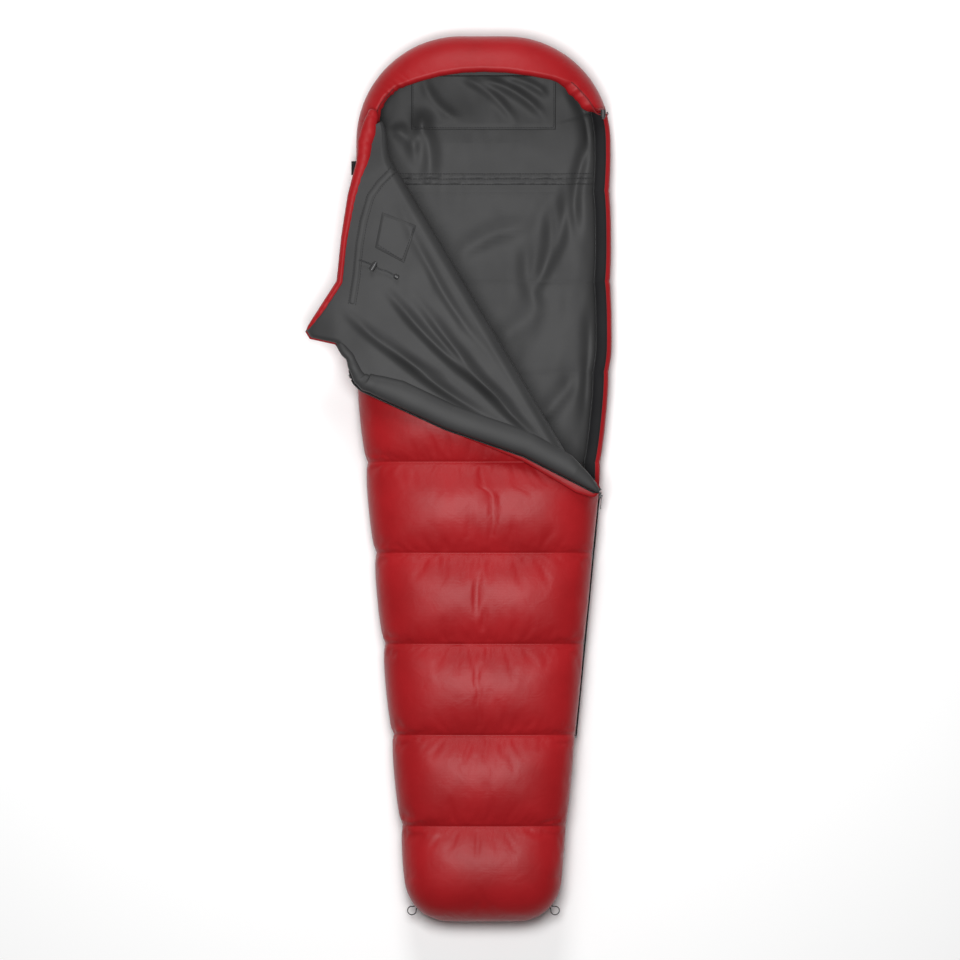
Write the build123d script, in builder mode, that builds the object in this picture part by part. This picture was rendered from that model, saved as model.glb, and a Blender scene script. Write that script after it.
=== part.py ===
# Mummy sleeping bag, lying on its back on the ground, with its flap folded open to the left.
# Millimetres. +Y is towards the head, +X is the zip side, +Z is up. The origin is on the
# ground, under the middle of the bag's length and width.
from math import acos, atan2, cos, degrees, hypot, pi, radians, sin, tan
import os

from build123d import *

os.makedirs("parts", exist_ok=True)

# ---- the bag's outline, seen from above
bag_length = 2150.0
shoulder_radius = 312.0
shoulder_back = 506.0  # from the hood's corner arcs down to the shoulder's centre
hood_radius = 255.0
hood_spread = 54.0  # the hood's corner arcs stand this far either side of the centreline
foot_radius = 110.0
foot_spread = 80.0

# ---- the bag's height and its rounded edges
bag_height = 200.0
top_round = 90.0
bottom_round = 50.0
seam_z = 80.0  # where the top panel meets the side walls

# ---- the three layers of the wall
shell_thickness = 1.5
fill_thickness = 25.0
lining_thickness = 1.5

# ---- the seams at the two ends of the body
foot_seam_up = 126.0  # from the foot's corner arcs up to the foot seam
neck_seam_back = 119.0  # from the hood's corner arcs down to the neck seam

# ---- the opening
zip_open_back = 346.0  # from the shoulder's centre down to where the zip is open
zip_bottom_up = 341.0  # from the foot's corner arcs up to the zip's bottom end
brim_width = 92.0  # on the centreline
# each corner of the hood's edge: how far in from the outline, and its direction in degrees
# from the corner arc's centre, from 0 straight out to the side to 90 straight up
hood_left_corner = (52.8, 11.7)  # the left end of the fold
hood_left_bend_corner = (46.88, 19.65)
hood_left_brow_corner = (58.97, 39.62)
hood_right_brow_corner = (52.45, 41.8)
hood_right_bend_corner = (41.36, 23.45)
hood_right_corner = (34.56, 19.34)
edge_round = 22.0  # the hood edge's corners
hem_width = 14.0

# ---- the zip
zip_gap = 9.0  # half the height of the slot in the wall behind the teeth
tape_width = 17.4
tape_thickness = 1.2
tape_gap = 1.3  # from the seam line to a tape's inner edge
coil_size = 3.0
coil_gap = 0.8  # from the seam line to a coil's inner edge
stop_length = 6.0
draft_tube_depth = 20.0
draft_tube_height = 44.0

# ---- the slider, along the zip (x), across it (y) and out from it (z)
slider_length = 15.0
slider_width = 12.0
plate_thickness = 1.8
coil_clearance = 0.5
blade_thickness = 0.8
blade_length = 4.0
flange_thickness = 1.2
lug_length = 3.2
lug_width = 4.4
lug_height = 4.0
lug_hole_radius = 1.2
lug_wall = 0.5
tab_length = 34.0
tab_width = 9.0
tab_thickness = 1.6
tab_wire_radius = 1.0
tab_behind = 1.2  # how far the tab reaches behind its hinge
tab_gap = 0.5

# ---- the flap; its corners are across from the centreline and up from the shoulder's centre
flap_tip_corner = (-429.0, 36.0)
flap_blunt_corner = (-415.0, 19.0)
flap_chin_corners = (  # from the hood down to the tip
    (-291.0, 498.0), (-325.0, 369.0), (-340.0, 271.0), (-351.0, 163.0), (-378.0, 121.0),
)
flap_notch_corner = (-354.0, 7.0)
flap_zip_corner = (-325.0, -85.0)
flap_lift = 0.5  # clear height between the flap and the panel that it lies on
flap_bend_start = 320.0  # from the fold to where the flap starts to hang over the side
flap_bend_radius = 150.0
flap_bend_angle = 44.0
flap_end_gap = 24.0
flap_tube_width = 56.0
flap_tube_height = 14.0
flap_tape_reach = 9.0
hem_thickness = 1.5
chin_hem_width = 24.0
chin_hem_lip = 3.0
collar_channel_start = 34.0
collar_channel_width = 36.0
collar_channel_height = 3.0
pocket_thickness = 2.0
pocket_corners = ((-244, 328), (-162, 296), (-191, 206), (-261, 243))

# ---- things sewn to the lining and to the shell
neck_up = 31.0  # from the neck seam up to the channel's middle
neck_width = 27.0
neck_height = 6.0
neck_reach = 300.0
pillow_width = 352.0
pillow_low = 33.0  # up from the hood's corner arcs
pillow_high = 164.0
pillow_thickness = 2.5
label_up = 55.0  # from the neck seam up to the tab's middle
label_length = 34.0
label_reach = 12.0
label_thickness = 2.0

# ---- cords, and the locks on them
cord_radius = 1.25
cord_clearance = 0.4
hood_cord_drop = 25.0  # from the top of the bag down to the cord
hood_cord_route = (
    (-257, 868), (-256, 897), (-211, 952), (-160, 967), (-105, 980), (-50, 987.5), (5, 989.5),
    (58, 987), (110, 983), (161, 974), (211, 962), (238, 934), (259, 909), (272, 880), (298, 880),
)
hood_lock_at = (289.0, 880.0)
knot_radius = 2.4
collar_cord_route = ((-300, 526), (-281, 522), (-247, 502), (-231, 500), (-214, 489))
collar_lock_at = (-264.0, 512.0)
neck_cord_route = ((-150, 732), (-60, 733), (30, 731), (120, 733), (210, 732))
foot_loop_route = (
    (-2, -1.6), (7, -4), (13, -11), (24, -9.5), (29, 0), (24, 9.5), (13, 11), (7, 4), (-2, 1.6),
)
foot_loop_angle = 42.0  # below the line across the bag
foot_loop_droop = 12.0
lock_radius = 6.0
lock_above = 6.0  # from the cord to the body's open end
lock_below = 12.0
lock_floor = 1.5
lock_wall = 1.8
button_reach = 4.5
button_travel = 4.0
button_clearance = 0.3
spring_inside = 1.0  # from the button's side in to the middle of the wire
spring_wire = 0.3
spring_pitch = 1.7
stopper_radius = 5.5

wall = shell_thickness + fill_thickness + lining_thickness
hood_y = bag_length / 2 - hood_radius
foot_y = foot_radius - bag_length / 2
shoulder_y = hood_y - shoulder_back
foot_seam_y = foot_y + foot_seam_up
neck_seam_y = hood_y - neck_seam_back
zip_open_y = shoulder_y - zip_open_back
zip_bottom_y = foot_y + zip_bottom_up
neck_y = neck_seam_y + neck_up
label_y = neck_seam_y + label_up
hood_cord_z = bag_height - hood_cord_drop
button_radius = lock_radius - lock_wall - button_clearance
spring_radius = button_radius - spring_inside
side_rise = bag_height - seam_z - tape_gap - tape_width  # over the upper tape's wall
reach = bag_length  # longer than any piece, for cutting tools


def hood_point(side, corner):
    """A corner of the hood's edge, on the left (-1) or the right (1)."""
    inset, angle = corner
    across = hood_spread + (hood_radius - inset) * cos(radians(angle))
    return (side * across, hood_y + (hood_radius - inset) * sin(radians(angle)))


def shoulder_point(corner):
    """A place given from the shoulder's centre."""
    return (corner[0], shoulder_y + corner[1])


hood_left = hood_point(-1, hood_left_corner)
hood_left_bend = hood_point(-1, hood_left_bend_corner)
hood_left_brow = hood_point(-1, hood_left_brow_corner)
hood_brow = (0, hood_y + hood_radius - brim_width)
hood_right_brow = hood_point(1, hood_right_brow_corner)
hood_right_bend = hood_point(1, hood_right_bend_corner)
hood_right = hood_point(1, hood_right_corner)
flap_tip = shoulder_point(flap_tip_corner)
flap_tip_blunt = shoulder_point(flap_blunt_corner)
flap_chin = [shoulder_point(corner) for corner in flap_chin_corners]
flap_notch = shoulder_point(flap_notch_corner)
flap_corner = shoulder_point(flap_zip_corner)


def keep(name, part):
    """Label a finished piece and write it."""
    part.label = name
    export_step(part, f"parts/{name}.step")


# ======== the outline and the solid that it bounds


def tangent_angle(low_centre, low_radius, high_centre, high_radius):
    """Direction, in degrees, of the normal of the line that touches two arcs on their right."""
    across = high_centre[0] - low_centre[0]
    along = high_centre[1] - low_centre[1]
    return degrees(atan2(along, across) - acos((low_radius - high_radius) / hypot(across, along)))


side_angle = tangent_angle(
    (foot_spread, foot_y), foot_radius, (0, shoulder_y), shoulder_radius
)
hood_angle = tangent_angle(
    (0, shoulder_y), shoulder_radius, (hood_spread, hood_y), hood_radius
)


def side_x(y):
    """X of the right side's straight stretch, at a place along the bag."""
    out_x = cos(radians(side_angle))
    out_y = sin(radians(side_angle))
    return foot_spread + (foot_radius - out_y * (y - foot_y)) / out_x


def plan(inset, z):
    """The bag's outline, taken in by inset, at height z."""
    with BuildSketch(Plane.XY.offset(z)) as outline:
        with BuildLine():
            foot = CenterArc(
                (foot_spread, foot_y), foot_radius - inset, -90, 90 + side_angle
            )
            shoulder = CenterArc(
                (0, shoulder_y), shoulder_radius - inset, side_angle, hood_angle - side_angle
            )
            hood = CenterArc(
                (hood_spread, hood_y), hood_radius - inset, hood_angle, 90 - hood_angle
            )
            Line((0, foot_y - foot_radius + inset), foot @ 0)
            Line(foot @ 1, shoulder @ 0)
            Line(shoulder @ 1, hood @ 0)
            Line(hood @ 1, (0, hood_y + hood_radius - inset))
            mirror(about=Plane.YZ)
        make_face()
    return outline.sketch


def prism(inset, low, high):
    """The outline, taken in by inset, as an upright solid from z low to z high."""
    with BuildPart() as solid:
        add(plan(inset, low))
        extrude(amount=high - low)
    return solid.part


def envelope(inset):
    """The stuffed bag's rounded form, taken in all round by inset."""
    with BuildPart() as solid:
        add(plan(inset, inset))
        extrude(amount=bag_height - 2 * inset)
        fillet(solid.faces().sort_by(Axis.Z)[-1].edges(), min(top_round, side_rise) - inset)
        fillet(solid.faces().sort_by(Axis.Z)[0].edges(), bottom_round - inset)
    return solid.part


def block(x, y, z):
    """A block between two values on each axis, for cutting."""
    with BuildPart() as solid:
        with BuildSketch(Plane.XY.offset(z[0])):
            with Locations(((x[0] + x[1]) / 2, (y[0] + y[1]) / 2)):
                Rectangle(x[1] - x[0], y[1] - y[0])
        extrude(amount=z[1] - z[0])
    return solid.part


def combine(base, cut=(), meet=()):
    """A solid, less the cut solids, where the meet solids are."""
    with BuildPart() as result:
        add(base)
        for tool in meet:
            add(tool, mode=Mode.INTERSECT)
        for tool in cut:
            add(tool, mode=Mode.SUBTRACT)
    return result.part


# ======== cords


def cord_path(points, plane, report):
    """Straight runs joined by the largest tangent arcs that the runs allow, on a plane."""
    radii = []
    for before, point, after in zip(points, points[1:], points[2:]):
        run_in = Vector(*point) - Vector(*before)
        run_out = Vector(*after) - Vector(*point)
        turn = radians(run_in.get_angle(run_out))
        radii.append(0.45 * min(run_in.length, run_out.length) / tan(turn / 2))
    print(report, "radii", [round(radius, 1) for radius in radii])
    with BuildLine(plane) as path:
        FilletPolyline(*points, radius=radii)
    return path.wire()


def tube(path, radius):
    """A round cord or tunnel along a path."""
    with BuildPart() as cord:
        with BuildSketch(Plane(origin=path @ 0, z_dir=path % 0)):
            Circle(radius)
        sweep(path=path)
    swept = pi * radius**2 * path.length
    print("  volume over section times length:", round(cord.part.volume / swept, 4))
    return cord.part


def cord_lock(prefix, centre, cord_direction, button_direction):
    """A barrel cord lock: a body, a sprung button and the spring, with the cord across it."""
    frame = Plane(origin=centre, x_dir=cord_direction, z_dir=button_direction)
    hole_radius = cord_radius + cord_clearance
    slot_width = 2 * hole_radius
    slot_low = -cord_radius - 0.15
    button_low = -2 * cord_radius - 0.7

    with BuildPart() as body:
        with BuildSketch(frame.offset(-lock_below)):
            Circle(lock_radius)
        extrude(amount=lock_below + lock_above)
        with BuildSketch(frame.offset(lock_above)):
            Circle(button_radius + button_clearance)
        extrude(amount=-(lock_below + lock_above - lock_floor), mode=Mode.SUBTRACT)
        with BuildSketch(Plane(origin=frame.origin, z_dir=frame.x_dir)):
            Circle(hole_radius)
        extrude(amount=lock_radius * 2, both=True, mode=Mode.SUBTRACT)
        fillet(body.edges().filter_by(GeomType.CIRCLE).group_by(
            lambda edge: round(edge.radius, 3))[-1], 0.8)
    keep(f"{prefix}_lock_body", body.part)

    with BuildPart() as button:
        with BuildSketch(frame.offset(button_low)):
            Circle(button_radius)
        extrude(amount=lock_above + button_reach - button_low)
        with BuildSketch(frame.offset(slot_low)):
            Rectangle(lock_radius * 2, slot_width)
        extrude(amount=button_travel + 2 * (cord_radius + 0.15), mode=Mode.SUBTRACT)
    keep(f"{prefix}_lock_button", button.part)

    spring_low = -lock_below + lock_floor + spring_wire
    spring_high = button_low - spring_wire
    with BuildPart() as spring:
        with BuildLine() as coils:
            Helix(
                spring_pitch, spring_high - spring_low, spring_radius,
                center=frame.origin + frame.z_dir * spring_low, direction=frame.z_dir,
            )
        with BuildSketch(Plane(origin=coils.line @ 0, z_dir=coils.line % 0)):
            Circle(spring_wire)
        sweep(path=coils.line, is_frenet=True)
    keep(f"{prefix}_lock_spring", spring.part)


# ======== the bag's opening and the hem round it


def opening(grow, low, high):
    """The space that the open flap leaves, wider by grow, from z low to z high."""
    junction = (side_x(zip_open_y), zip_open_y)
    outside = side_x(zip_open_y) + wall * 4
    with BuildPart() as space:
        with BuildSketch(Plane.XY.offset(low)) as face:
            with BuildLine():
                Polyline(hood_left_brow, hood_left_bend, hood_left, junction)
                Polyline(
                    junction, (outside, zip_open_y), (outside, hood_right[1]),
                    hood_right, hood_right_bend, hood_right_brow,
                )
                ThreePointArc(hood_right_brow, hood_brow, hood_left_brow)
            make_face()
            bends = [
                corner for corner in face.vertices()
                if corner.Y > hood_right[1] - 10 and corner.X < hood_right[0] + 1
            ]
            fillet(bends, edge_round / 2)
            if grow:
                offset(amount=grow, kind=Kind.ARC)
        extrude(amount=high - low)
    return space.part


mouth = opening(0, seam_z, bag_height + wall)
hem_ring = combine(
    opening(hem_width, seam_z, bag_height + wall),
    cut=[mouth],
    meet=[block((hood_left[0] - hem_width, reach), (hood_left[1], reach), (0, reach))],
)
zip_slot = block(
    (0, reach), (zip_bottom_y - stop_length, hood_right[1]), (seam_z - zip_gap, seam_z + zip_gap)
)

# ======== the wall, in three layers and six panels

faces = [
    envelope(0),
    envelope(shell_thickness),
    envelope(shell_thickness + fill_thickness),
    envelope(wall),
]
layers = {
    "shell": combine(faces[0], cut=[faces[1]]),
    "fill": combine(faces[1], cut=[faces[2]]),
    "lining": combine(faces[2], cut=[faces[3]]),
}
ground_zone = prism(bottom_round, 0, seam_z)
hood_cord_path = cord_path(hood_cord_route, Plane.XY.offset(hood_cord_z), "hood cord")
hood_tunnel = tube(hood_cord_path, cord_radius + cord_clearance)
panels = {
    "ground": {"meet": [ground_zone]},
    "left_side": {
        "meet": [block((-reach, 0), (foot_seam_y, neck_seam_y), (0, seam_z))],
        "cut": [ground_zone],
    },
    "right_side": {
        "meet": [block((0, reach), (foot_seam_y, neck_seam_y), (0, seam_z))],
        "cut": [ground_zone, zip_slot],
    },
    "top": {
        "meet": [block((-reach, reach), (foot_seam_y, neck_seam_y), (seam_z, reach))],
        "cut": [mouth, zip_slot],
    },
    "foot": {
        "meet": [block((-reach, reach), (-reach, foot_seam_y), (0, reach))],
        "cut": [ground_zone],
    },
    "hood": {
        "meet": [block((-reach, reach), (neck_seam_y, reach), (0, reach))],
        "cut": [ground_zone, mouth, hem_ring, zip_slot],
    },
}
for panel_name, zone in panels.items():
    for layer_name, layer in layers.items():
        keep(f"{panel_name}_{layer_name}", combine(layer, **zone))

# ======== the hood's brim, its cord and its cord lock

wall_solid = combine(faces[0], cut=[faces[3]])
keep("brim_hem", combine(wall_solid, meet=[hem_ring], cut=[zip_slot, hood_tunnel]))
with BuildPart() as hood_drawcord:
    add(tube(hood_cord_path, cord_radius))
    with Locations(hood_cord_path @ 1):
        Sphere(knot_radius)
keep("hood_drawcord", hood_drawcord.part)
cord_lock("hood", (*hood_lock_at, hood_cord_z), (1, 0, 0), (0, -1, 0))

# ======== sewn to the lining and to the shell

cavity = faces[3]
neck_z = wall + neck_height / 2
neck_cord_path = cord_path(neck_cord_route, Plane.XY.offset(neck_z), "neck cord")
neck_tunnel = tube(neck_cord_path, cord_radius + cord_clearance)
keep("neck_channel", combine(
    cavity,
    meet=[block(
        (-neck_reach, neck_reach),
        (neck_y - neck_width / 2, neck_y + neck_width / 2),
        (0, wall + neck_height),
    )],
    cut=[neck_tunnel],
))
keep("neck_cord", tube(neck_cord_path, cord_radius))
keep("pillow_pocket", combine(
    cavity,
    meet=[block(
        (-pillow_width / 2, pillow_width / 2),
        (hood_y + pillow_low, hood_y + pillow_high),
        (0, wall + pillow_thickness),
    )],
))
keep("label_tab", combine(
    prism(-label_reach, seam_z - label_thickness / 2, seam_z + label_thickness / 2),
    cut=[faces[0]],
    meet=[block(
        (-reach, 0), (label_y - label_length / 2, label_y + label_length / 2), (0, reach)
    )],
))

# ======== foot loops

for side_name, side in (("left", -1), ("right", 1)):
    out = (side * cos(radians(foot_loop_angle)), -sin(radians(foot_loop_angle)))
    droop = radians(foot_loop_droop)
    loop_frame = Plane(
        origin=(side * foot_spread + out[0] * foot_radius, foot_y + out[1] * foot_radius, seam_z),
        x_dir=(out[0] * cos(droop), out[1] * cos(droop), -sin(droop)),
        z_dir=(out[0] * sin(droop), out[1] * sin(droop), cos(droop)),
    )
    loop_path = cord_path(foot_loop_route, loop_frame, f"{side_name} foot loop")
    keep(f"foot_loop_{side_name}", combine(tube(loop_path, cord_radius), cut=[faces[0]]))

# ======== the zip


def zip_band(low_out, high_out, low_z, high_z, low_y, high_y):
    """A strip of the right side, between two distances out from the wall."""
    return combine(
        prism(-high_out, low_z, high_z),
        cut=[prism(-low_out, low_z, high_z)],
        meet=[block((0, reach), (low_y, high_y), (0, reach))],
    )


coil_out = tape_thickness + coil_size
keep("zip_tape_lower", zip_band(
    0, tape_thickness, seam_z - tape_gap - tape_width, seam_z - tape_gap,
    zip_bottom_y, hood_right[1],
))
keep("zip_coil_lower", zip_band(
    tape_thickness, coil_out, seam_z - coil_gap - coil_size, seam_z - coil_gap,
    zip_bottom_y, hood_right[1] - stop_length,
))
keep("zip_tape_upper", zip_band(
    0, tape_thickness, seam_z + tape_gap, seam_z + tape_gap + tape_width,
    zip_bottom_y, zip_open_y,
))
keep("zip_coil_upper", zip_band(
    tape_thickness, coil_out, seam_z + coil_gap, seam_z + coil_gap + coil_size,
    zip_bottom_y, zip_open_y,
))
keep("zip_bottom_stop", zip_band(
    0, coil_out, seam_z - tape_width / 2, seam_z + tape_width / 2,
    zip_bottom_y - stop_length, zip_bottom_y,
))
keep("zip_top_stop", zip_band(
    tape_thickness, coil_out, seam_z - coil_gap - coil_size, seam_z - coil_gap,
    hood_right[1] - stop_length, hood_right[1],
))
keep("draft_tube", combine(
    cavity,
    cut=[prism(wall + draft_tube_depth, 0, bag_height)],
    meet=[block(
        (0, reach), (zip_bottom_y, zip_open_y),
        (seam_z - draft_tube_height / 2, seam_z + draft_tube_height / 2),
    )],
))

# ======== the slider and its pull tab

slider_y = zip_open_y - slider_length / 2
zip_out = Vector(cos(radians(side_angle)), sin(radians(side_angle)), 0)
zip_down = Vector(sin(radians(side_angle)), -cos(radians(side_angle)), 0)
slider_frame = Plane(
    origin=(side_x(slider_y), slider_y, seam_z), x_dir=zip_down, z_dir=zip_out
)
outer_low = coil_out + coil_clearance
outer_high = outer_low + plate_thickness
inner_high = -coil_clearance
inner_low = inner_high - plate_thickness
lug_hole_out = outer_high + lug_hole_radius + lug_wall
lug_corner = hypot(lug_length / 2, lug_height - lug_hole_radius - lug_wall)
window_front = lug_corner + tab_gap  # from the hinge, clear of the lug as the tab swings
hinge_plane = Plane(
    origin=slider_frame.from_local_coords(Vector(0, 0, lug_hole_out)), z_dir=(0, 0, 1)
)

with BuildPart() as slider:
    for low, high in ((outer_low, outer_high), (inner_low, inner_high)):
        with BuildSketch(slider_frame.offset(low)):
            RectangleRounded(slider_length, slider_width, slider_width / 3)
        extrude(amount=high - low)
    with BuildSketch(slider_frame.offset(inner_high)):
        with Locations((-slider_length / 2 + blade_length / 2 + 1, 0)):
            Rectangle(blade_length, blade_thickness)
    extrude(amount=outer_low - inner_high)
    flange_inside = coil_gap + coil_size + coil_clearance
    with BuildSketch(slider_frame.offset(tape_thickness + coil_clearance)):
        for flange_side in (-1, 1):
            with Locations((0, flange_side * (flange_inside + flange_thickness / 2))):
                Rectangle(slider_length * 0.7, flange_thickness)
    extrude(amount=outer_low - tape_thickness - coil_clearance)
    with BuildSketch(slider_frame.offset(outer_high)):
        Rectangle(lug_length, lug_width)
    extrude(amount=lug_height)
    with BuildSketch(hinge_plane):
        Circle(lug_hole_radius)
    extrude(amount=slider_width, both=True, mode=Mode.SUBTRACT)
keep("zip_slider", slider.part)

with BuildPart() as pull_tab:
    with BuildSketch(slider_frame.offset(lug_hole_out - tab_thickness / 2)):
        with Locations((tab_length / 2 - tab_behind, 0)):
            Rectangle(tab_length, tab_width)
        with Locations(((window_front - tab_behind) / 2, 0)):
            Rectangle(window_front + tab_behind, lug_width + 2 * tab_gap, mode=Mode.SUBTRACT)
    extrude(amount=tab_thickness)
    fillet(pull_tab.edges().filter_by(Axis((0, 0, 0), zip_out)).sort_by(Axis.Y)[:2], tab_width / 3)
    with BuildSketch(hinge_plane):
        Circle(tab_wire_radius)
    extrude(amount=lug_width / 2 + 2 * tab_gap, both=True)
keep("zip_pull_tab", pull_tab.part)
print("slider frame", slider_frame.origin, zip_down, "pull tab axis out", lug_hole_out)

# ======== the flap, folded open on the line from the zip to the hood

fold_low = Vector(side_x(zip_open_y), zip_open_y, 0)
fold_high = Vector(*hood_left)
fold_along = (fold_high - fold_low).normalized()
fold_away = Vector(-fold_along.Y, fold_along.X, 0)
flap_z = bag_height + flap_lift
flap_frame = Plane(
    origin=fold_low + fold_along * flap_end_gap + Vector(0, 0, flap_z),
    x_dir=fold_away,
    z_dir=fold_along,
)
fold_length = (fold_high - fold_low).length - 2 * flap_end_gap
flap_outline = [
    hood_left, *flap_chin, flap_tip, flap_tip_blunt, flap_notch, flap_corner,
    (fold_low.X, fold_low.Y),
]
flap_low = flap_z - flap_bend_radius
flap_high = flap_z + 2 * wall


def flap_sheet(low, high):
    """A layer of the flap, between two heights above its underside, bent over the bag's side."""
    radius_low = flap_bend_radius + low
    radius_high = flap_bend_radius + high
    with BuildPart() as sheet:
        with BuildSketch(flap_frame):
            with BuildLine():
                centre = (flap_bend_start, -flap_bend_radius)
                bend_low = CenterArc(centre, radius_low, 90, -flap_bend_angle)
                bend_high = CenterArc(centre, radius_high, 90, -flap_bend_angle)
                Polyline(bend_low @ 0, (0, low), (0, high), bend_high @ 0)
                Line(bend_low @ 1, bend_high @ 1)
            make_face()
        extrude(amount=fold_length)
    return sheet.part


def flap_prism():
    """The flap's outline as an upright solid."""
    with BuildPart() as solid:
        with BuildSketch(Plane.XY.offset(flap_low)):
            with BuildLine():
                Polyline(*flap_outline, close=True)
            make_face()
        extrude(amount=flap_high - flap_low)
    return solid.part


def flap_strip(points, width):
    """An upright band along some of the flap's edges, width to each side of them."""
    with BuildPart() as solid:
        with BuildSketch(Plane.XY.offset(flap_low)):
            with BuildLine():
                edge = Polyline(*points)
            trace(edge, 2 * width)
        extrude(amount=flap_high - flap_low)
    return solid.part


flap_area = flap_prism()
lining_low = shell_thickness + fill_thickness
keep("flap_shell", combine(flap_sheet(0, shell_thickness), meet=[flap_area]))
keep("flap_fill", combine(flap_sheet(shell_thickness, lining_low), meet=[flap_area]))
keep("flap_lining", combine(flap_sheet(lining_low, wall), meet=[flap_area]))

zip_edge = (flap_corner, (fold_low.X, fold_low.Y))
chin_edge = (hood_left, *flap_chin, flap_tip)
zip_edge_strip = flap_strip(zip_edge, flap_tube_width)
chin_hem_top = flap_strip(chin_edge, chin_hem_width)
chin_hem_side = flap_strip(chin_edge, chin_hem_lip)
keep("flap_draft_tube", combine(
    flap_sheet(wall, wall + flap_tube_height), meet=[flap_area, zip_edge_strip]
))

flap_tape_low = lining_low - 3 * tape_thickness
tape_strip = flap_strip(zip_edge, flap_tape_reach)
coil_strip = flap_strip(zip_edge, flap_tape_reach + coil_size)
beside_tip = flap_strip((flap_tip_blunt, flap_notch, flap_corner), 2 * coil_size)
keep("flap_zip_tape", combine(
    flap_sheet(flap_tape_low, flap_tape_low + tape_thickness),
    meet=[tape_strip], cut=[flap_area, beside_tip],
))
coil_low = flap_tape_low + tape_thickness / 2 - coil_size / 2
stop_strip = flap_strip(
    (flap_corner, (flap_corner[0] + 30, flap_corner[1] - 20)), flap_tape_reach * 2
)
coil_sheet = flap_sheet(coil_low, coil_low + coil_size)
keep("flap_zip_coil", combine(
    coil_sheet, meet=[coil_strip], cut=[flap_area, tape_strip, beside_tip, stop_strip]
))
keep("flap_top_stop", combine(
    coil_sheet, meet=[coil_strip, stop_strip], cut=[flap_area, tape_strip, beside_tip]
))

keep("chin_hem", combine(
    combine(
        flap_sheet(0, wall + hem_thickness), meet=[chin_hem_side], cut=[flap_area]
    ) + combine(flap_sheet(wall, wall + hem_thickness), meet=[flap_area, chin_hem_top]),
))
collar_edge = (hood_left, *flap_chin[:4])
channel_outer = flap_strip(collar_edge, collar_channel_start + collar_channel_width)
channel_inner = flap_strip(collar_edge, collar_channel_start)
keep("flap_collar_channel", combine(
    flap_sheet(wall, wall + collar_channel_height),
    meet=[flap_area, channel_outer],
    cut=[channel_inner, chin_hem_top, zip_edge_strip],
))

with BuildPart() as pocket_area:
    with BuildSketch(Plane.XY.offset(flap_low)):
        with BuildLine():
            Polyline(*[shoulder_point(corner) for corner in pocket_corners], close=True)
        make_face()
    extrude(amount=flap_high - flap_low)
keep("stash_pocket", combine(
    flap_sheet(wall, wall + pocket_thickness),
    meet=[pocket_area.part], cut=[channel_outer],
))

collar_cord_z = flap_z + wall + collar_channel_height + lock_radius
collar_run = Vector(*collar_cord_route[2]) - Vector(*collar_cord_route[1])
collar_along = collar_run.normalized()
collar_across = Vector(-collar_along.Y, collar_along.X, 0)
collar_path = cord_path(collar_cord_route, Plane.XY.offset(collar_cord_z), "collar cord")
keep("collar_cord", tube(collar_path, cord_radius))
cord_lock("collar", (*collar_lock_at, collar_cord_z), collar_along, collar_across)

with BuildPart() as stopper:
    with BuildSketch(Plane(origin=collar_path @ 1, z_dir=collar_path % 1)):
        Circle(stopper_radius)
    extrude(amount=2 * stopper_radius)
    fillet(stopper.edges(), stopper_radius / 3)
keep("collar_cord_stopper", stopper.part)

print("fold axis from", fold_low, "to", fold_high, "along", fold_along)
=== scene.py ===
import math

import bmesh
import bpy
import numpy as np
from mathutils import Matrix, Vector, noise
from mathutils.bvhtree import BVHTree


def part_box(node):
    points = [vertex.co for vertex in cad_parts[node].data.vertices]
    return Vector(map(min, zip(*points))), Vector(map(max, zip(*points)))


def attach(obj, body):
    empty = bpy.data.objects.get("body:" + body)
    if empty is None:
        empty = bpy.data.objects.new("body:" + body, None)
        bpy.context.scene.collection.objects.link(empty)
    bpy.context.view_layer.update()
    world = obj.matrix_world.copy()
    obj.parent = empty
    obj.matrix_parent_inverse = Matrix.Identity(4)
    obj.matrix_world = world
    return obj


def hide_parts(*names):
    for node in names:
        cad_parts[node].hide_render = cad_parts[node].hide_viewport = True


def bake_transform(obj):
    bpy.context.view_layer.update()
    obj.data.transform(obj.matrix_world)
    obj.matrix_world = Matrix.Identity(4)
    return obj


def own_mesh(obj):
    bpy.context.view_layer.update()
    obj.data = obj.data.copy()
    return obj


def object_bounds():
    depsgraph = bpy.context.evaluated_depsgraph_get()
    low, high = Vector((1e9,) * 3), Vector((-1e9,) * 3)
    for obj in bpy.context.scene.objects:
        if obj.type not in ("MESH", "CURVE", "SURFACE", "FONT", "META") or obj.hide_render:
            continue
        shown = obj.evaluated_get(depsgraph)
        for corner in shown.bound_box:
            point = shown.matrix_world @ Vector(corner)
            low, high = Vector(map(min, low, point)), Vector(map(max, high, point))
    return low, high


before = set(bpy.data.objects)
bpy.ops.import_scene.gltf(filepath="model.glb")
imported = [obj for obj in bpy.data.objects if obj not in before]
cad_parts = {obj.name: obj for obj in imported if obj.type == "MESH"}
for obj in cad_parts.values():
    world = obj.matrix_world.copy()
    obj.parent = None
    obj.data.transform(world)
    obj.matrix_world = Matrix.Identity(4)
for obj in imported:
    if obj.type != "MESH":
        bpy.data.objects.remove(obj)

CAD_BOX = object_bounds()
MM = 0.001

# ---- the bag's outline, in metres, as the frame's solids have it
LENGTH = CAD_BOX[1][1] - CAD_BOX[0][1]
HOOD_RADIUS, HOOD_SPREAD = 0.255, 0.054
SHOULDER_RADIUS, SHOULDER_Y = 0.312, 0.314
FOOT_RADIUS, FOOT_SPREAD = 0.110, 0.080
HOOD_Y = LENGTH / 2 - HOOD_RADIUS
FOOT_Y = FOOT_RADIUS - LENGTH / 2
TOP_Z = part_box("top_shell")[1][2]
SEAM_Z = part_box("top_shell")[0][2]
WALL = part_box("ground_lining")[1][2]

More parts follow.
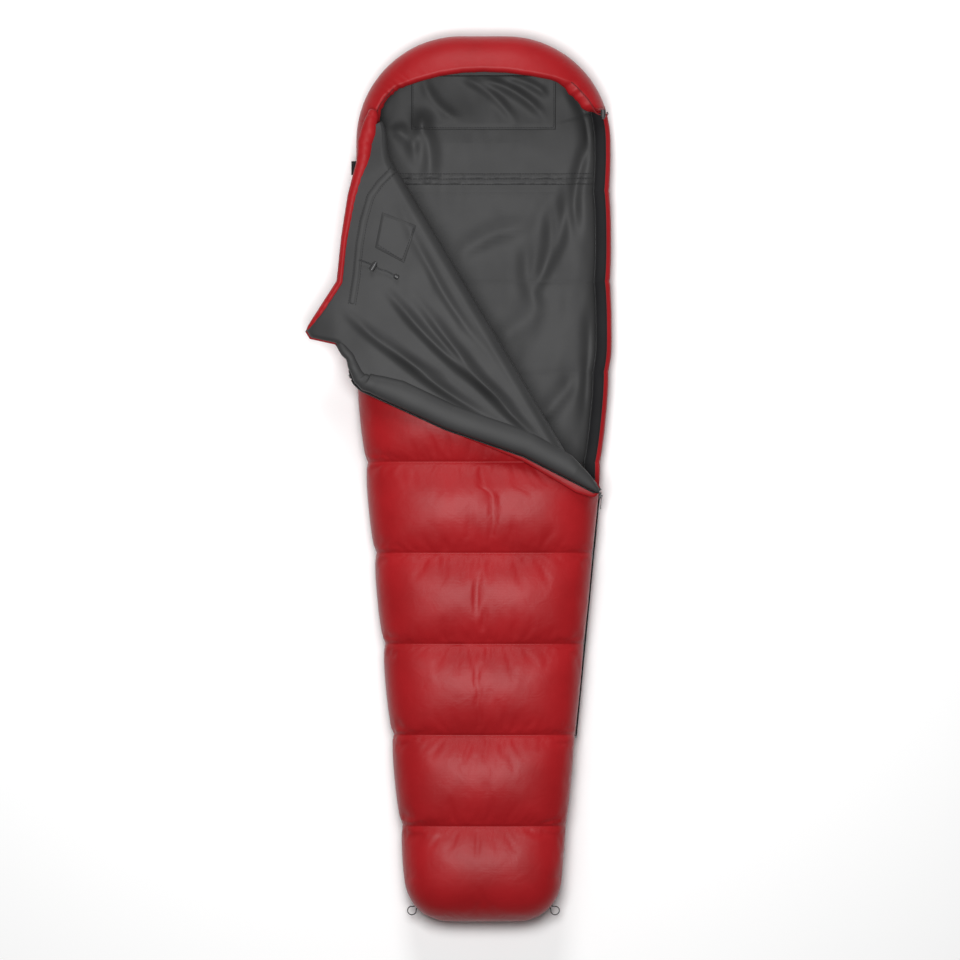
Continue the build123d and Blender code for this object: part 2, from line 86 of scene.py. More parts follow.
# ---- seams across the bag
CHAMBER = 0.220
FOOT_SEAM_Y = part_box("foot_shell")[1][1]
NECK_SEAM_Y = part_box("hood_shell")[0][1]
CHAMBERS = round((NECK_SEAM_Y - FOOT_SEAM_Y) / CHAMBER)
SEAM_DEPTH_TOP, SEAM_DEPTH_SIDE, SEAM_DEPTH_UNDER = 0.016, 0.009, 0.006
SIDE_SEAM_SHARE = 0.6  # the filling keeps the seams shallower on the sides
ZIP_SIDE_SHARE = 0.45  # the zip's tape holds its side straighter than the other
CLOSED_ZIP_SHARE = 0.25  # and straighter still where the zip is closed
FLOOR_GAP = 0.0008  # cloth on the floor stands off it by this much
STITCH_SINK, STITCH_REACH = 0.14, 0.004
CHAMBER_POWER = 2.6

# ---- the opening
ZIP_OPEN_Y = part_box("zip_tape_upper")[1][1]
ZIP_BOTTOM_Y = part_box("zip_tape_upper")[0][1]
BRIM_END_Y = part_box("zip_tape_lower")[1][1]
FOLD_HIGH = Vector((-0.252, 0.861))
HOOD_EDGE = [
    (-0.252, 0.861), (-0.247, 0.893), (-0.232, 0.920), (-0.205, 0.943), (-0.155, 0.960),
    (-0.105, 0.973), (-0.050, 0.981), (0.0, 0.983), (0.055, 0.981), (0.110, 0.974),
    (0.160, 0.965), (0.205, 0.951), (0.232, 0.927), (0.250, 0.905), (0.262, 0.893),
]
RIM_WIDTH, RIM_HEIGHT = 0.018, 0.014  # half the width and the height of the rim's roll
LAP = 0.0014  # the lining laps over the roll by this much
RIM_OPENS_OVER = 0.07

TOP_POWER, UNDER_POWER = 3.7, 4.5
FOOT_ROUND = 0.125


# ======== small tools


def smooth(value, low, high):
    """0 below low, 1 above high, and an even rise between them."""
    t = min(max((value - low) / (high - low), 0.0), 1.0)
    return t * t * (3 - 2 * t)


def resample(points, count):
    """Points spaced evenly along a polyline."""
    points = np.asarray(points, float)
    steps = np.linalg.norm(np.diff(points, axis=0), axis=1)
    travelled = np.concatenate(([0.0], np.cumsum(steps)))
    wanted = np.linspace(0.0, travelled[-1], count)
    return np.stack([np.interp(wanted, travelled, axis) for axis in points.T], axis=1)


def new_piece(name, shape, material):
    """A finished bmesh as an object in the scene, smooth shaded."""
    for face in shape.faces:
        face.smooth = True
    mesh = bpy.data.meshes.new(name)
    shape.to_mesh(mesh)
    shape.free()
    mesh.materials.append(material)
    piece = bpy.data.objects.new(name, mesh)
    bpy.context.scene.collection.objects.link(piece)
    return piece


def cloth_grid(name, lines, material, weave=1.0, turn=False, close=False):
    """A sheet of cloth through a list of rows of points, woven as a grid."""
    rows, across = len(lines), len(lines[0])
    lines = np.asarray(lines, float)
    width = np.linalg.norm(np.diff(lines[rows // 2], axis=0), axis=1).sum()
    length = np.linalg.norm(np.diff(lines[:, across // 2], axis=0), axis=1).sum()
    shape = bmesh.new()
    cloth = shape.loops.layers.uv.new("cloth")
    bmesh.ops.create_grid(shape, x_segments=across - 1, y_segments=rows - 1, size=0.5)
    for face in shape.faces:
        for loop in face.loops:
            u, v = loop.vert.co.x + 0.5, loop.vert.co.y + 0.5
            loop[cloth].uv = (u * width * weave, v * length * weave)
    for vert in shape.verts:
        column = round((vert.co.x + 0.5) * (across - 1))
        row = round((vert.co.y + 0.5) * (rows - 1))
        vert.co = lines[row][column]
    if close:
        bmesh.ops.remove_doubles(shape, verts=shape.verts, dist=1e-5)
    if turn:
        bmesh.ops.reverse_faces(shape, faces=shape.faces)
    return new_piece(name, shape, material)


def noise_at(x, y, z=0.0):
    """Smooth noise between about -1 and 1, the same on every run."""
    return noise.noise(Vector((x, y, z)))


# ======== the bag's form


def tangent_angle(low, low_radius, high, high_radius):
    """Normal of the line that touches two arcs on their right."""
    across, along = high[0] - low[0], high[1] - low[1]
    reach = math.hypot(across, along)
    return math.atan2(along, across) - math.acos((low_radius - high_radius) / reach)


SIDE_ANGLE = tangent_angle(
    (FOOT_SPREAD, FOOT_Y), FOOT_RADIUS, (0, SHOULDER_Y), SHOULDER_RADIUS
)
HOOD_ANGLE = tangent_angle(
    (0, SHOULDER_Y), SHOULDER_RADIUS, (HOOD_SPREAD, HOOD_Y), HOOD_RADIUS
)


def half_width(y, inset=0.0):
    """Half the bag's width at y, taken in by inset."""
    foot, shoulder, hood = FOOT_RADIUS - inset, SHOULDER_RADIUS - inset, HOOD_RADIUS - inset
    if y < FOOT_Y + foot * math.sin(SIDE_ANGLE):
        return FOOT_SPREAD + math.sqrt(max(foot**2 - (y - FOOT_Y) ** 2, 0))
    if y < SHOULDER_Y + shoulder * math.sin(SIDE_ANGLE):
        rise = (y - FOOT_Y) * math.sin(SIDE_ANGLE)
        return FOOT_SPREAD + (foot - rise) / math.cos(SIDE_ANGLE)
    if y < SHOULDER_Y + shoulder * math.sin(HOOD_ANGLE):
        return math.sqrt(shoulder**2 - (y - SHOULDER_Y) ** 2)
    if y < HOOD_Y + hood * math.sin(HOOD_ANGLE):
        rise = (y - SHOULDER_Y) * math.sin(HOOD_ANGLE)
        return (shoulder - rise) / math.cos(HOOD_ANGLE)
    return HOOD_SPREAD + math.sqrt(max(hood**2 - (y - HOOD_Y) ** 2, 0))


FOLD_LOW = Vector((half_width(ZIP_OPEN_Y), ZIP_OPEN_Y))
FOLD_ALONG = (FOLD_HIGH - FOLD_LOW).normalized()
FOLD_AWAY = Vector((-FOLD_ALONG.y, FOLD_ALONG.x))
FOLD_LENGTH = (FOLD_HIGH - FOLD_LOW).length
FOLD_BACK = 0.045  # the fold's round nose stands this far back from the straight line
NOSE = 0.024


def fold_back(along):
    """How far the middle of the fold's round nose stands back, at a place along the fold."""
    return FOLD_BACK * smooth(along, 0.0, 0.12) * (1 - smooth(along, FOLD_LENGTH - 0.1, FOLD_LENGTH))


FOLD_PLACES = [
    FOLD_LOW + FOLD_ALONG * along + FOLD_AWAY * fold_back(along)
    for along in np.linspace(0, FOLD_LENGTH, 60)
]


def fold_x(y):
    """X of the fold at y."""
    return float(np.interp(y, [place.y for place in FOLD_PLACES], [place.x for place in FOLD_PLACES]))


def seam_distance(y):
    """How far y is from the nearest seam across the bag."""
    nearest = min(max(round((y - FOOT_SEAM_Y) / CHAMBER), 0), CHAMBERS)
    return abs(y - FOOT_SEAM_Y - nearest * CHAMBER)


def chamber_fill(y):
    """How full the bag is at y: 0 on a seam, a little less in its stitches, 1 between seams."""
    stitches = STITCH_SINK * math.exp(-((seam_distance(y) / STITCH_REACH) ** 2))
    if y > NECK_SEAM_Y:
        return smooth(y, NECK_SEAM_Y - 1e-6, NECK_SEAM_Y + 0.09) ** 0.6 - stitches
    if y < FOOT_SEAM_Y:
        return smooth(FOOT_SEAM_Y - y, -1e-6, 0.11) ** 0.6 - stitches
    share = ((y - FOOT_SEAM_Y) / CHAMBER) % 1.0
    return 1 - abs(2 * share - 1) ** CHAMBER_POWER - stitches


def chamber_stations(low, high, per_chamber):
    """Places along the bag, closer together near the seams."""
    places = [low, high]
    for chamber in range(-1, CHAMBERS + 1):
        for step in range(per_chamber):
            share = step / per_chamber
            share -= 0.12 * math.sin(2 * math.pi * share)
            places.append(FOOT_SEAM_Y + CHAMBER * (chamber + share))
    return sorted(y for y in places if low <= y <= high)


def foot_closing(y):
    """How far the foot end has closed to its line: 1 in the bag, 0 at the very end."""
    reach = min(max((FOOT_Y - FOOT_RADIUS + FOOT_ROUND - y) / FOOT_ROUND, 0.0), 1.0)
    return (1 - reach**2.5) ** (1 / 2.5)


def arc_points(width, height, power, start, stop, count=120):
    """Points of a rounded arch, from the angle start to stop, in degrees. 0 is its right foot."""
    angles = np.radians(np.linspace(start, stop, count))
    cosine, sine = np.cos(angles), np.sin(angles)
    across = np.sign(cosine) * np.abs(cosine) ** (2 / power) * width
    up = np.sign(sine) * np.abs(sine) ** (2 / power) * height
    return np.stack([across, up], axis=1)


def crown(x, width, height):
    """Height of the top arch over the seam line, at x."""
    return height * max(1 - min(abs(x / width), 1.0) ** TOP_POWER, 0.0) ** (1 / TOP_POWER)


def widths_at(y, inset, depth=1.0):
    """Half width, height over the seam line and depth under it, between the seams."""
    slack = (1 - chamber_fill(y)) * depth
    closing = foot_closing(y + (inset if y < 0 else 0))
    width = half_width(y, inset) - SEAM_DEPTH_SIDE * SIDE_SEAM_SHARE * slack
    height = (TOP_Z - SEAM_Z - inset - SEAM_DEPTH_TOP * slack) * closing
    under = (SEAM_Z - inset - SEAM_DEPTH_UNDER * slack) * closing
    return width, height, under


def half_ellipse(middle, wide, high, start, stop, count=20):
    """Points of a roll's side, from the angle start to stop, in degrees."""
    angles = np.radians(np.linspace(start, stop, count))
    return np.stack([middle + wide * np.cos(angles), high * np.sin(angles)], axis=1)


def top_path(width, height, stop_x):
    """From the left seam over the top to stop_x."""
    share = min(max(stop_x / width, -0.999), 1.0)
    angle = math.degrees(math.acos(math.copysign(abs(share) ** (TOP_POWER / 2), share)))
    return arc_points(width, height, TOP_POWER, 180, angle)


def rim_size(y):
    """Half width and height of the rim's roll at y: none where the zip is closed."""
    return (
        RIM_WIDTH * smooth(y, ZIP_OPEN_Y - 0.02, ZIP_OPEN_Y),
        RIM_HEIGHT * smooth(y, ZIP_OPEN_Y - 0.01, ZIP_OPEN_Y + RIM_OPENS_OVER),
    )


def zip_side_width(y):
    """Half width on the zip's side, which the tape holds straighter."""
    opened = smooth(y, ZIP_OPEN_Y, ZIP_OPEN_Y + 0.06)
    share = CLOSED_ZIP_SHARE + (ZIP_SIDE_SHARE - CLOSED_ZIP_SHARE) * opened
    return half_width(y) - SEAM_DEPTH_SIDE * (1 - chamber_fill(y)) * share


def body_rows(inset, under_count, top_count, per_chamber, low_y, depth=1.0):
    """Rows of points round the bag from the foot to the neck seam, from the zip, under the bag,
    up the left side and over the top, to the zip or to the fold."""
    end_rows = 22 if low_y is None else 0
    ys = [
        FOOT_Y - (FOOT_RADIUS - inset) * math.cos(math.pi / 2 * i / end_rows)
        for i in range(end_rows)
    ]
    ys += chamber_stations(FOOT_Y if low_y is None else low_y, NECK_SEAM_Y, per_chamber)
    rows = []
    for y in ys:
        width, height, under = widths_at(y, inset, depth)
        rim_width, rim_height = rim_size(y)
        zip_side = zip_side_width(y) if y > FOOT_Y else half_width(y)
        wall = max(inset, 2 * rim_width) if inset else 0.0
        slant = (zip_side - wall) / width if y > FOOT_Y + FOOT_RADIUS / 2 else 1.0
        stop = min(fold_x(y), width) if y > ZIP_OPEN_Y else width
        below = arc_points(width, under, UNDER_POWER, 0, -180)
        above = top_path(width, height, stop)
        for side in (below, above):
            side[:, 0] = np.where(side[:, 0] > 0, side[:, 0] * slant, side[:, 0])
        if rim_width > 1e-4:
            middle = zip_side - rim_width
            if inset:
                roll = half_ellipse(middle, rim_width + LAP, rim_height + LAP, 70, 176)
            else:
                roll = half_ellipse(middle, rim_width, rim_height, 180, 4)
            below = np.concatenate([roll, below])
        section = np.concatenate([resample(below, under_count), resample(above, top_count)[1:]])
        rows.append([(x, y, SEAM_Z + z) for x, z in section])
    return rows


# ======== materials


CLOTH_SHINE = 0.16


def fabric(name, colour, dark, roughness, sheen, thread=0.0011, weave=0.25, crinkle=0.0016,
           crinkle_size=26.0, coat=0.0):
    """Woven cloth: two close shades, a fine weave and faint crinkles."""
    material = bpy.data.materials.new(name)
    material.use_nodes = True
    nodes, links = material.node_tree.nodes, material.node_tree.links
    shader = nodes["Principled BSDF"]
    shader.inputs["Roughness"].default_value = roughness
    shader.inputs["Sheen Weight"].default_value = sheen
    shader.inputs["Sheen Roughness"].default_value = 0.4
    shader.inputs["Specular IOR Level"].default_value = CLOTH_SHINE
    shader.inputs["Coat Weight"].default_value = coat
    shader.inputs["Coat Roughness"].default_value = 0.45
    place = nodes.new("ShaderNodeTexCoord")
    shade = nodes.new("ShaderNodeTexNoise")
    shade.inputs["Scale"].default_value = 9.0
    shade.inputs["Detail"].default_value = 5.0
    links.new(place.outputs["Object"], shade.inputs["Vector"])
    ramp = nodes.new("ShaderNodeValToRGB")
    ramp.color_ramp.elements[0].position = 0.35
    ramp.color_ramp.elements[0].color = (*dark, 1)
    ramp.color_ramp.elements[1].position = 0.65
    ramp.color_ramp.elements[1].color = (*colour, 1)
    links.new(shade.outputs["Fac"], ramp.inputs["Fac"])
    links.new(ramp.outputs["Color"], shader.inputs["Base Color"])
    warp = nodes.new("ShaderNodeTexWave")
    warp.wave_type, warp.bands_direction = "BANDS", "X"
    warp.inputs["Scale"].default_value = 1 / thread / 6.3
    weft = nodes.new("ShaderNodeTexWave")
    weft.wave_type, weft.bands_direction = "BANDS", "Y"
    weft.inputs["Scale"].default_value = 1 / thread / 6.3
    links.new(place.outputs["UV"], warp.inputs["Vector"])
    links.new(place.outputs["UV"], weft.inputs["Vector"])
    threads = nodes.new("ShaderNodeMath")
    threads.operation = "MULTIPLY"
    links.new(warp.outputs["Fac"], threads.inputs[0])
    links.new(weft.outputs["Fac"], threads.inputs[1])
    fine = nodes.new("ShaderNodeBump")
    fine.inputs["Strength"].default_value = weave
    fine.inputs["Distance"].default_value = 0.0003
    links.new(threads.outputs["Value"], fine.inputs["Height"])
    creases = nodes.new("ShaderNodeTexNoise")
    creases.inputs["Scale"].default_value = crinkle_size
    creases.inputs["Detail"].default_value = 4.0
    creases.inputs["Distortion"].default_value = 0.6
    links.new(place.outputs["Object"], creases.inputs["Vector"])
    soft = nodes.new("ShaderNodeBump")
    soft.inputs["Strength"].default_value = 0.6
    soft.inputs["Distance"].default_value = crinkle
    links.new(creases.outputs["Fac"], soft.inputs["Height"])
    links.new(fine.outputs["Normal"], soft.inputs["Normal"])
    links.new(soft.outputs["Normal"], shader.inputs["Normal"])
    return material


def moulded(name, colour, roughness, metallic=0.0, grain=0.0004):
    """Moulded plastic or coated metal, with a faint grain."""
    material = bpy.data.materials.new(name)
    material.use_nodes = True
    nodes, links = material.node_tree.nodes, material.node_tree.links
    shader = nodes["Principled BSDF"]
    shader.inputs["Metallic"].default_value = metallic
    place = nodes.new("ShaderNodeTexCoord")
    speck = nodes.new("ShaderNodeTexNoise")
    speck.inputs["Scale"].default_value = 900.0
    links.new(place.outputs["Object"], speck.inputs["Vector"])
    ramp = nodes.new("ShaderNodeValToRGB")
    ramp.color_ramp.elements[0].color = (*[c * 0.75 for c in colour], 1)
    ramp.color_ramp.elements[1].color = (*colour, 1)
    links.new(speck.outputs["Fac"], ramp.inputs["Fac"])
    links.new(ramp.outputs["Color"], shader.inputs["Base Color"])
    spread = nodes.new("ShaderNodeMapRange")
    spread.inputs["To Min"].default_value = roughness * 0.8
    spread.inputs["To Max"].default_value = roughness * 1.2
    links.new(speck.outputs["Fac"], spread.inputs["Value"])
    links.new(spread.outputs["Result"], shader.inputs["Roughness"])
    bump = nodes.new("ShaderNodeBump")
    bump.inputs["Distance"].default_value = grain
    bump.inputs["Strength"].default_value = 0.3
    links.new(speck.outputs["Fac"], bump.inputs["Height"])
    links.new(bump.outputs["Normal"], shader.inputs["Normal"])
    return material


RED = fabric("red_shell_cloth", (0.312, 0.0092, 0.0122), (0.27, 0.0076, 0.0100), 0.42, 0.0)
HEM_RED = fabric("red_hem_cloth", (0.315, 0.009, 0.012), (0.27, 0.0075, 0.010), 0.5, 0.0)
GREY = fabric("grey_lining_cloth", (0.0365, 0.0365, 0.037), (0.0315, 0.0315, 0.032), 0.5, 0.02,
              crinkle=0.0009, crinkle_size=14.0)
TAPE = fabric("zip_tape_cloth", (0.012, 0.012, 0.013), (0.009, 0.009, 0.01), 0.75, 0.05,
              thread=0.0008, weave=0.6)
LABEL = fabric("label_cloth", (0.01, 0.01, 0.012), (0.008, 0.008, 0.009), 0.6, 0.05, weave=0.5)
CORD_GREY = fabric("grey_loop_cord", (0.06, 0.06, 0.062), (0.035, 0.035, 0.037), 0.7, 0.1,
                   thread=0.0006, weave=0.9)
CORD_RED = fabric("red_drawcord", (0.17, 0.01, 0.012), (0.1, 0.006, 0.008), 0.7, 0.1,
                  thread=0.0006, weave=0.9)
THREAD_GREY = fabric("grey_sewing_thread", (0.022, 0.022, 0.023), (0.015, 0.015, 0.016), 0.6, 0.0)
COIL = moulded("zip_coil_plastic", (0.012, 0.012, 0.013), 0.35)
METAL = moulded("coated_zip_metal", (0.015, 0.015, 0.016), 0.35, metallic=0.6)
LOCK = moulded("cord_lock_plastic", (0.035, 0.035, 0.036), 0.45)
STEEL = moulded("spring_wire_steel", (0.55, 0.55, 0.57), 0.3, metallic=1.0)


# ======== the cloth's own life: filling swells it between its seams


def swell(piece, sewn, pressure, growth, limit, frames=20, sideways=0.45):
    """Let the filling push the cloth out between its seams, and keep what it does.
    sewn gives how firmly each point is held, from 0 to 1."""
    before = [vert.co.copy() for vert in piece.data.vertices]
    held = piece.vertex_groups.new(name="sewn")
    for index, place in enumerate(before):
        held.add([index], sewn(place), "REPLACE")
    cloth = piece.modifiers.new("filling", "CLOTH")
    rules = cloth.settings
    rules.quality = 5
    rules.mass = 0.2
    rules.tension_stiffness = 12
    rules.compression_stiffness = 12
    rules.shear_stiffness = 4
    rules.bending_stiffness = 0.15
    rules.use_pressure = True
    rules.uniform_pressure_force = pressure
    rules.shrink_min = -growth
    rules.vertex_group_mass = held.name
    rules.pin_stiffness = 1.0
    rules.effector_weights.gravity = 0
    cloth.collision_settings.use_collision = False
    cloth.collision_settings.use_self_collision = False
    scene = bpy.context.scene
    for step in range(1, frames + 1):
        scene.frame_set(step)
    made = bpy.data.meshes.new_from_object(
        piece.evaluated_get(bpy.context.evaluated_depsgraph_get())
    )
    piece.modifiers.remove(cloth)
    piece.vertex_groups.remove(held)
    for vert, start in zip(piece.data.vertices, [v.co.copy() for v in made.vertices]):
        move = start - before[vert.index]
        move.x *= sideways
        if move.length > limit:
            move *= limit / move.length
        vert.co = before[vert.index] + move
    bpy.data.meshes.remove(made)
    scene.frame_set(1)


def seam_hold(place):
    """Firm on the seams across the bag, loose between them."""
    share = (place.y - FOOT_SEAM_Y) / CHAMBER
    away = abs(share - round(share)) * CHAMBER
    if place.y > NECK_SEAM_Y + CHAMBER / 2 or place.y < FOOT_SEAM_Y - CHAMBER / 2:
        away = CHAMBER
    return 1 - smooth(away, 0.003, 0.012)


def pucker(piece, height, reach, wave, seed):
    """Short gathers that run out from the seams into the chambers."""
    mesh = piece.data
    normals = [Vector(n.vector) for n in mesh.vertex_normals]
    for vert in mesh.vertices:
        place = vert.co
        share = (place.y - FOOT_SEAM_Y) / CHAMBER
        nearest = round(share)
        if not 0 <= nearest <= CHAMBERS:
            continue
        away = abs(share - nearest) * CHAMBER
        fade = smooth(away, 0.0, 0.008) * (1 - smooth(away, 0.008, reach))
        if fade <= 0:
            continue
        round_bag = math.atan2(place.z - SEAM_Z, place.x) * 0.25
        along = round_bag if abs(place.x) > 0.8 * half_width(place.y) else place.x
        gather = noise_at(along / wave, away / reach * 0.9, nearest * 7.3 + seed)
        strength = 0.35 + 0.65 * max(noise_at(along / 0.13, nearest * 3.1, seed), 0) * 2
        vert.co = place + normals[vert.index] * (gather * height * fade * strength)


# ======== the outer shell of the body

UNDER_POINTS, TOP_POINTS, CHAMBER_ROWS = 112, 92, 30
body_shell = cloth_grid(
    "body_shell", body_rows(0.0, UNDER_POINTS, TOP_POINTS, CHAMBER_ROWS, None), RED, close=True
)


HELD_BY_ZIP = 2.6 * RIM_WIDTH  # the zip's tape holds the cloth this far in from the side


def body_hold(place):
    """Seams, the zip's edge, the fold's edge and the flat underside hold the shell."""
    under = 1 - smooth(place.z, 0.004, 0.03)
    beside_zip = half_width(place.y) - place.x < HELD_BY_ZIP
    zip_edge = 1 - smooth(abs(place.z - SEAM_Z), 0.018, 0.05) if beside_zip else 0.0
    fold_edge = 0.0
    if place.y > ZIP_OPEN_Y and place.z > SEAM_Z:
        fold_edge = 1 - smooth(fold_x(place.y) - place.x, 0.002, 0.02)
    foot_end = 1 - smooth(place.y, -LENGTH / 2 + 0.002, -LENGTH / 2 + 0.02)
    return max(seam_hold(place), under, zip_edge, fold_edge, foot_end)


swell(body_shell, body_hold, pressure=2.4, growth=0.018, limit=0.009)
pucker(body_shell, height=0.0022, reach=0.045, wave=0.017, seed=1.0)
for vert in body_shell.data.vertices:
    vert.co.z = max(vert.co.z, FLOOR_GAP)
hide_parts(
    "ground_shell", "ground_fill", "left_side_shell", "left_side_fill",
    "right_side_shell", "right_side_fill", "top_shell", "top_fill", "foot_shell", "foot_fill",
)
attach(body_shell, "bag")

# ======== the hood: rays from its middle out over the brim, down the side and under the bag

HOOD_MIDDLE = Vector((0.0, HOOD_Y))
BRIM_ROLL = 0.014
BRIM_BROADER = 0.014  # the brim's roll is this much broader at its right end
BRIM_GATHERS_X, BRIM_GATHERS_SPAN = 0.215, 0.035
RIM_ROOM = 2.4 * RIM_WIDTH  # a brim closer than this to the open side ends in the rim's roll


def hood_outline(inset):
    """Points round the hood from the neck seam's left end to its right end."""
    arc = HOOD_RADIUS - inset
    low = NECK_SEAM_Y - (0.004 if inset else 0.0)
    points = [(-half_width(y, inset), y) for y in np.linspace(low, HOOD_Y, 16)]
    for angle in np.linspace(180 - math.degrees(HOOD_ANGLE), 90, 60):
        turn = math.radians(angle)
        points.append((-HOOD_SPREAD + arc * math.cos(turn), HOOD_Y + arc * math.sin(turn)))
    for angle in np.linspace(90, math.degrees(HOOD_ANGLE), 60):
        turn = math.radians(angle)
        points.append((HOOD_SPREAD + arc * math.cos(turn), HOOD_Y + arc * math.sin(turn)))
    points += [(half_width(y, inset), y) for y in np.linspace(HOOD_Y, low, 16)]
    return points


HOOD_CUT = [(half_width(BRIM_END_Y) + 0.02, BRIM_END_Y)] + HOOD_EDGE[::-1]
HOOD_CUT += [tuple(place) for place in FOLD_PLACES[::-1] if 0.66 < place.y < 0.84]


def edge_distance(middle, toward):
    """How far the hood's edge is from a point, in one direction, or None on the open side."""
    best = None
    for (ax, ay), (bx, by) in zip(HOOD_CUT, HOOD_CUT[1:]):
        dx, dy = bx - ax, by - ay
        cross = toward.x * dy - toward.y * dx
        if abs(cross) < 1e-12:
            continue
        reach = ((ax - middle.x) * dy - (ay - middle.y) * dx) / cross
        share = ((ax - middle.x) * toward.y - (ay - middle.y) * toward.x) / cross
        if 0 <= share <= 1 and reach > 0 and (best is None or reach < best):
            best = reach
    return best


def hood_rows(inset, under_count, side_count, row_count, depth=1.0):
    """Rows of points, each from under the bag's middle out, up the side and over the brim."""
    rows = []
    for x, y in resample(hood_outline(inset), row_count):
        middle = Vector((0.0, min(y, HOOD_Y)))
        out = Vector((x, y)) - middle
        width = out.length
        out /= width
        seam_here = 1 - chamber_fill(min(y, HOOD_Y))
        slack = seam_here * depth
        open_side = x > 0 and y < BRIM_END_Y - 0.001
        if open_side:
            width += inset - SEAM_DEPTH_SIDE * seam_here * ZIP_SIDE_SHARE
        else:
            width -= SEAM_DEPTH_SIDE * SIDE_SEAM_SHARE * slack
        height = TOP_Z - SEAM_Z - inset - SEAM_DEPTH_TOP * slack
        under = SEAM_Z - inset - SEAM_DEPTH_UNDER * slack
        inner = edge_distance(middle, out)
        if open_side and (inner is None or inner > width - RIM_ROOM):
            rim_middle = width - RIM_WIDTH
            if inset:
                below = arc_points(width - 2 * RIM_WIDTH, under, UNDER_POWER, -90, 0)
                above = half_ellipse(rim_middle, RIM_WIDTH + LAP, RIM_HEIGHT + LAP, 176, 70)
            else:
                below = arc_points(width, under, UNDER_POWER, -90, 0)
                above = half_ellipse(rim_middle, RIM_WIDTH, RIM_HEIGHT, 4, 180)
        else:
            below = arc_points(width - (inset if open_side else 0), under, UNDER_POWER, -90, 0)
            start = inner if inner is not None else width
            under_flap = x < 0 and middle.y + out.y * start < FOLD_HIGH.y
            broad = BRIM_ROLL + BRIM_BROADER * smooth(middle.x + out.x * start, 0.17, 0.22)
            start += 0.0 if under_flap else BRIM_ROLL
            share = min(max(start / width, 0.0), 1.0)
            angle = math.degrees(math.acos(share ** (TOP_POWER / 2)))
            above = arc_points(width, height, TOP_POWER, 0, angle)
            if inset == 0 and not under_flap:
                top = crown(start, width, height)
                angles = np.radians(np.linspace(8, 180, 20))
                roll = np.stack([
                    start - broad * np.sin(angles),
                    top - WALL / 2 + WALL / 2 * np.cos(angles),
                ], axis=1)
                above = np.concatenate([above, roll])
        section = np.concatenate([resample(below, under_count), resample(above, side_count)[1:]])
        rows.append([
            (middle.x + out.x * r, middle.y + out.y * r, SEAM_Z + z) for r, z in section
        ])
    return rows


hood_shell = cloth_grid("hood_cover", hood_rows(0.0, 46, 56, 240), RED)


def gathers(piece, height, reach, wave, seed):
    """Small folds that run out over the brim from its drawn edge."""
    normals = [Vector(n.vector) for n in piece.data.vertex_normals]
    for vert in piece.data.vertices:
        place = vert.co
        if place.z < SEAM_Z + 0.02:
            continue
        out = Vector((place.x, place.y)) - HOOD_MIDDLE
        inner = edge_distance(HOOD_MIDDLE, out.normalized())
        if inner is None or place.y < BRIM_END_Y - 0.05:
            continue
        away = max(out.length - inner, 0.0)
        turn = math.atan2(out.y, out.x)
        ends = math.exp(-(((abs(place.x) - BRIM_GATHERS_X) / BRIM_GATHERS_SPAN) ** 2))
        fade = (1 - smooth(away, 0.0, reach)) * (0.12 + 0.88 * ends)
        fold = max(noise_at(turn * inner / wave, away / 0.09, seed), -0.12)
        vert.co = place + normals[vert.index] * (fold * height * fade)


gathers(hood_shell, height=0.006, reach=0.06, wave=0.013, seed=4.0)
for vert in hood_shell.data.vertices:
    vert.co.z = max(vert.co.z, FLOOR_GAP)
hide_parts("hood_shell", "hood_fill", "brim_hem")
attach(hood_shell, "bag")

# ======== the lining inside


def ridge(place, start, end, width, height, bow=0.0):
    """Height of a soft fold that runs from start to end, highest in its middle."""
    start, end = Vector(start), Vector(end)
    run = end - start
    along = (place - start).dot(run) / run.length_squared
    if not -0.1 < along < 1.1:
        return 0.0
    side = Vector((-run.y, run.x)).normalized()
    across = (place - start).dot(side) - bow * math.sin(math.pi * along)
    fade = smooth(along, -0.1, 0.3) * (1 - smooth(along, 0.7, 1.1))
    return height * fade * math.exp(-((across / width) ** 2))


FLOOR_FOLDS = (
    ((0.205, 0.960), (0.262, 0.800), 0.015, 0.012, 0.020),
    ((0.262, 0.830), (0.225, 0.600), 0.015, 0.011, -0.016),
    ((0.200, 0.720), (0.165, 0.520), 0.015, 0.008, 0.012),
    ((0.165, 0.660), (0.125, 0.455), 0.017, 0.010, 0.014),
    ((0.105, 0.590), (0.135, 0.400), 0.020, 0.006, -0.012),
    ((-0.070, 0.545), (0.115, 0.625), 0.022, 0.007, 0.012),
    ((0.020, 0.340), (0.150, 0.430), 0.026, 0.005, -0.010),
    ((0.258, 0.420), (0.240, 0.120), 0.016, 0.008, 0.010),
    ((0.110, 0.130), (0.235, 0.270), 0.022, 0.007, -0.012),
    ((-0.170, 0.900), (-0.130, 0.730), 0.018, 0.009, 0.016),
    ((-0.135, 0.900), (-0.170, 0.760), 0.016, 0.006, -0.010),
    ((-0.225, 0.860), (-0.165, 0.800), 0.018, 0.007, 0.008),
)


def floor_height(x, y):
    """How far the lining's floor stands up into the bag at a place."""
    place = Vector((x, y))
    height = sum(ridge(place, *fold) for fold in FLOOR_FOLDS)
    height += 0.004 * noise_at(x / 0.11, y / 0.16, 3.0) + 0.002 * noise_at(x / 0.04, y / 0.07, 9.0)
    return height


def ruffle_lining(piece):
    """Give the lining its soft folds, up from the floor and in from the walls."""
    normals = [Vector(n.vector) for n in piece.data.vertex_normals]
    for vert in piece.data.vertices:
        place = vert.co
        lift = (floor_height(place.x, place.y) + 0.004) * (1 - smooth(place.z, 0.04, SEAM_Z))
        vert.co = place + normals[vert.index] * lift


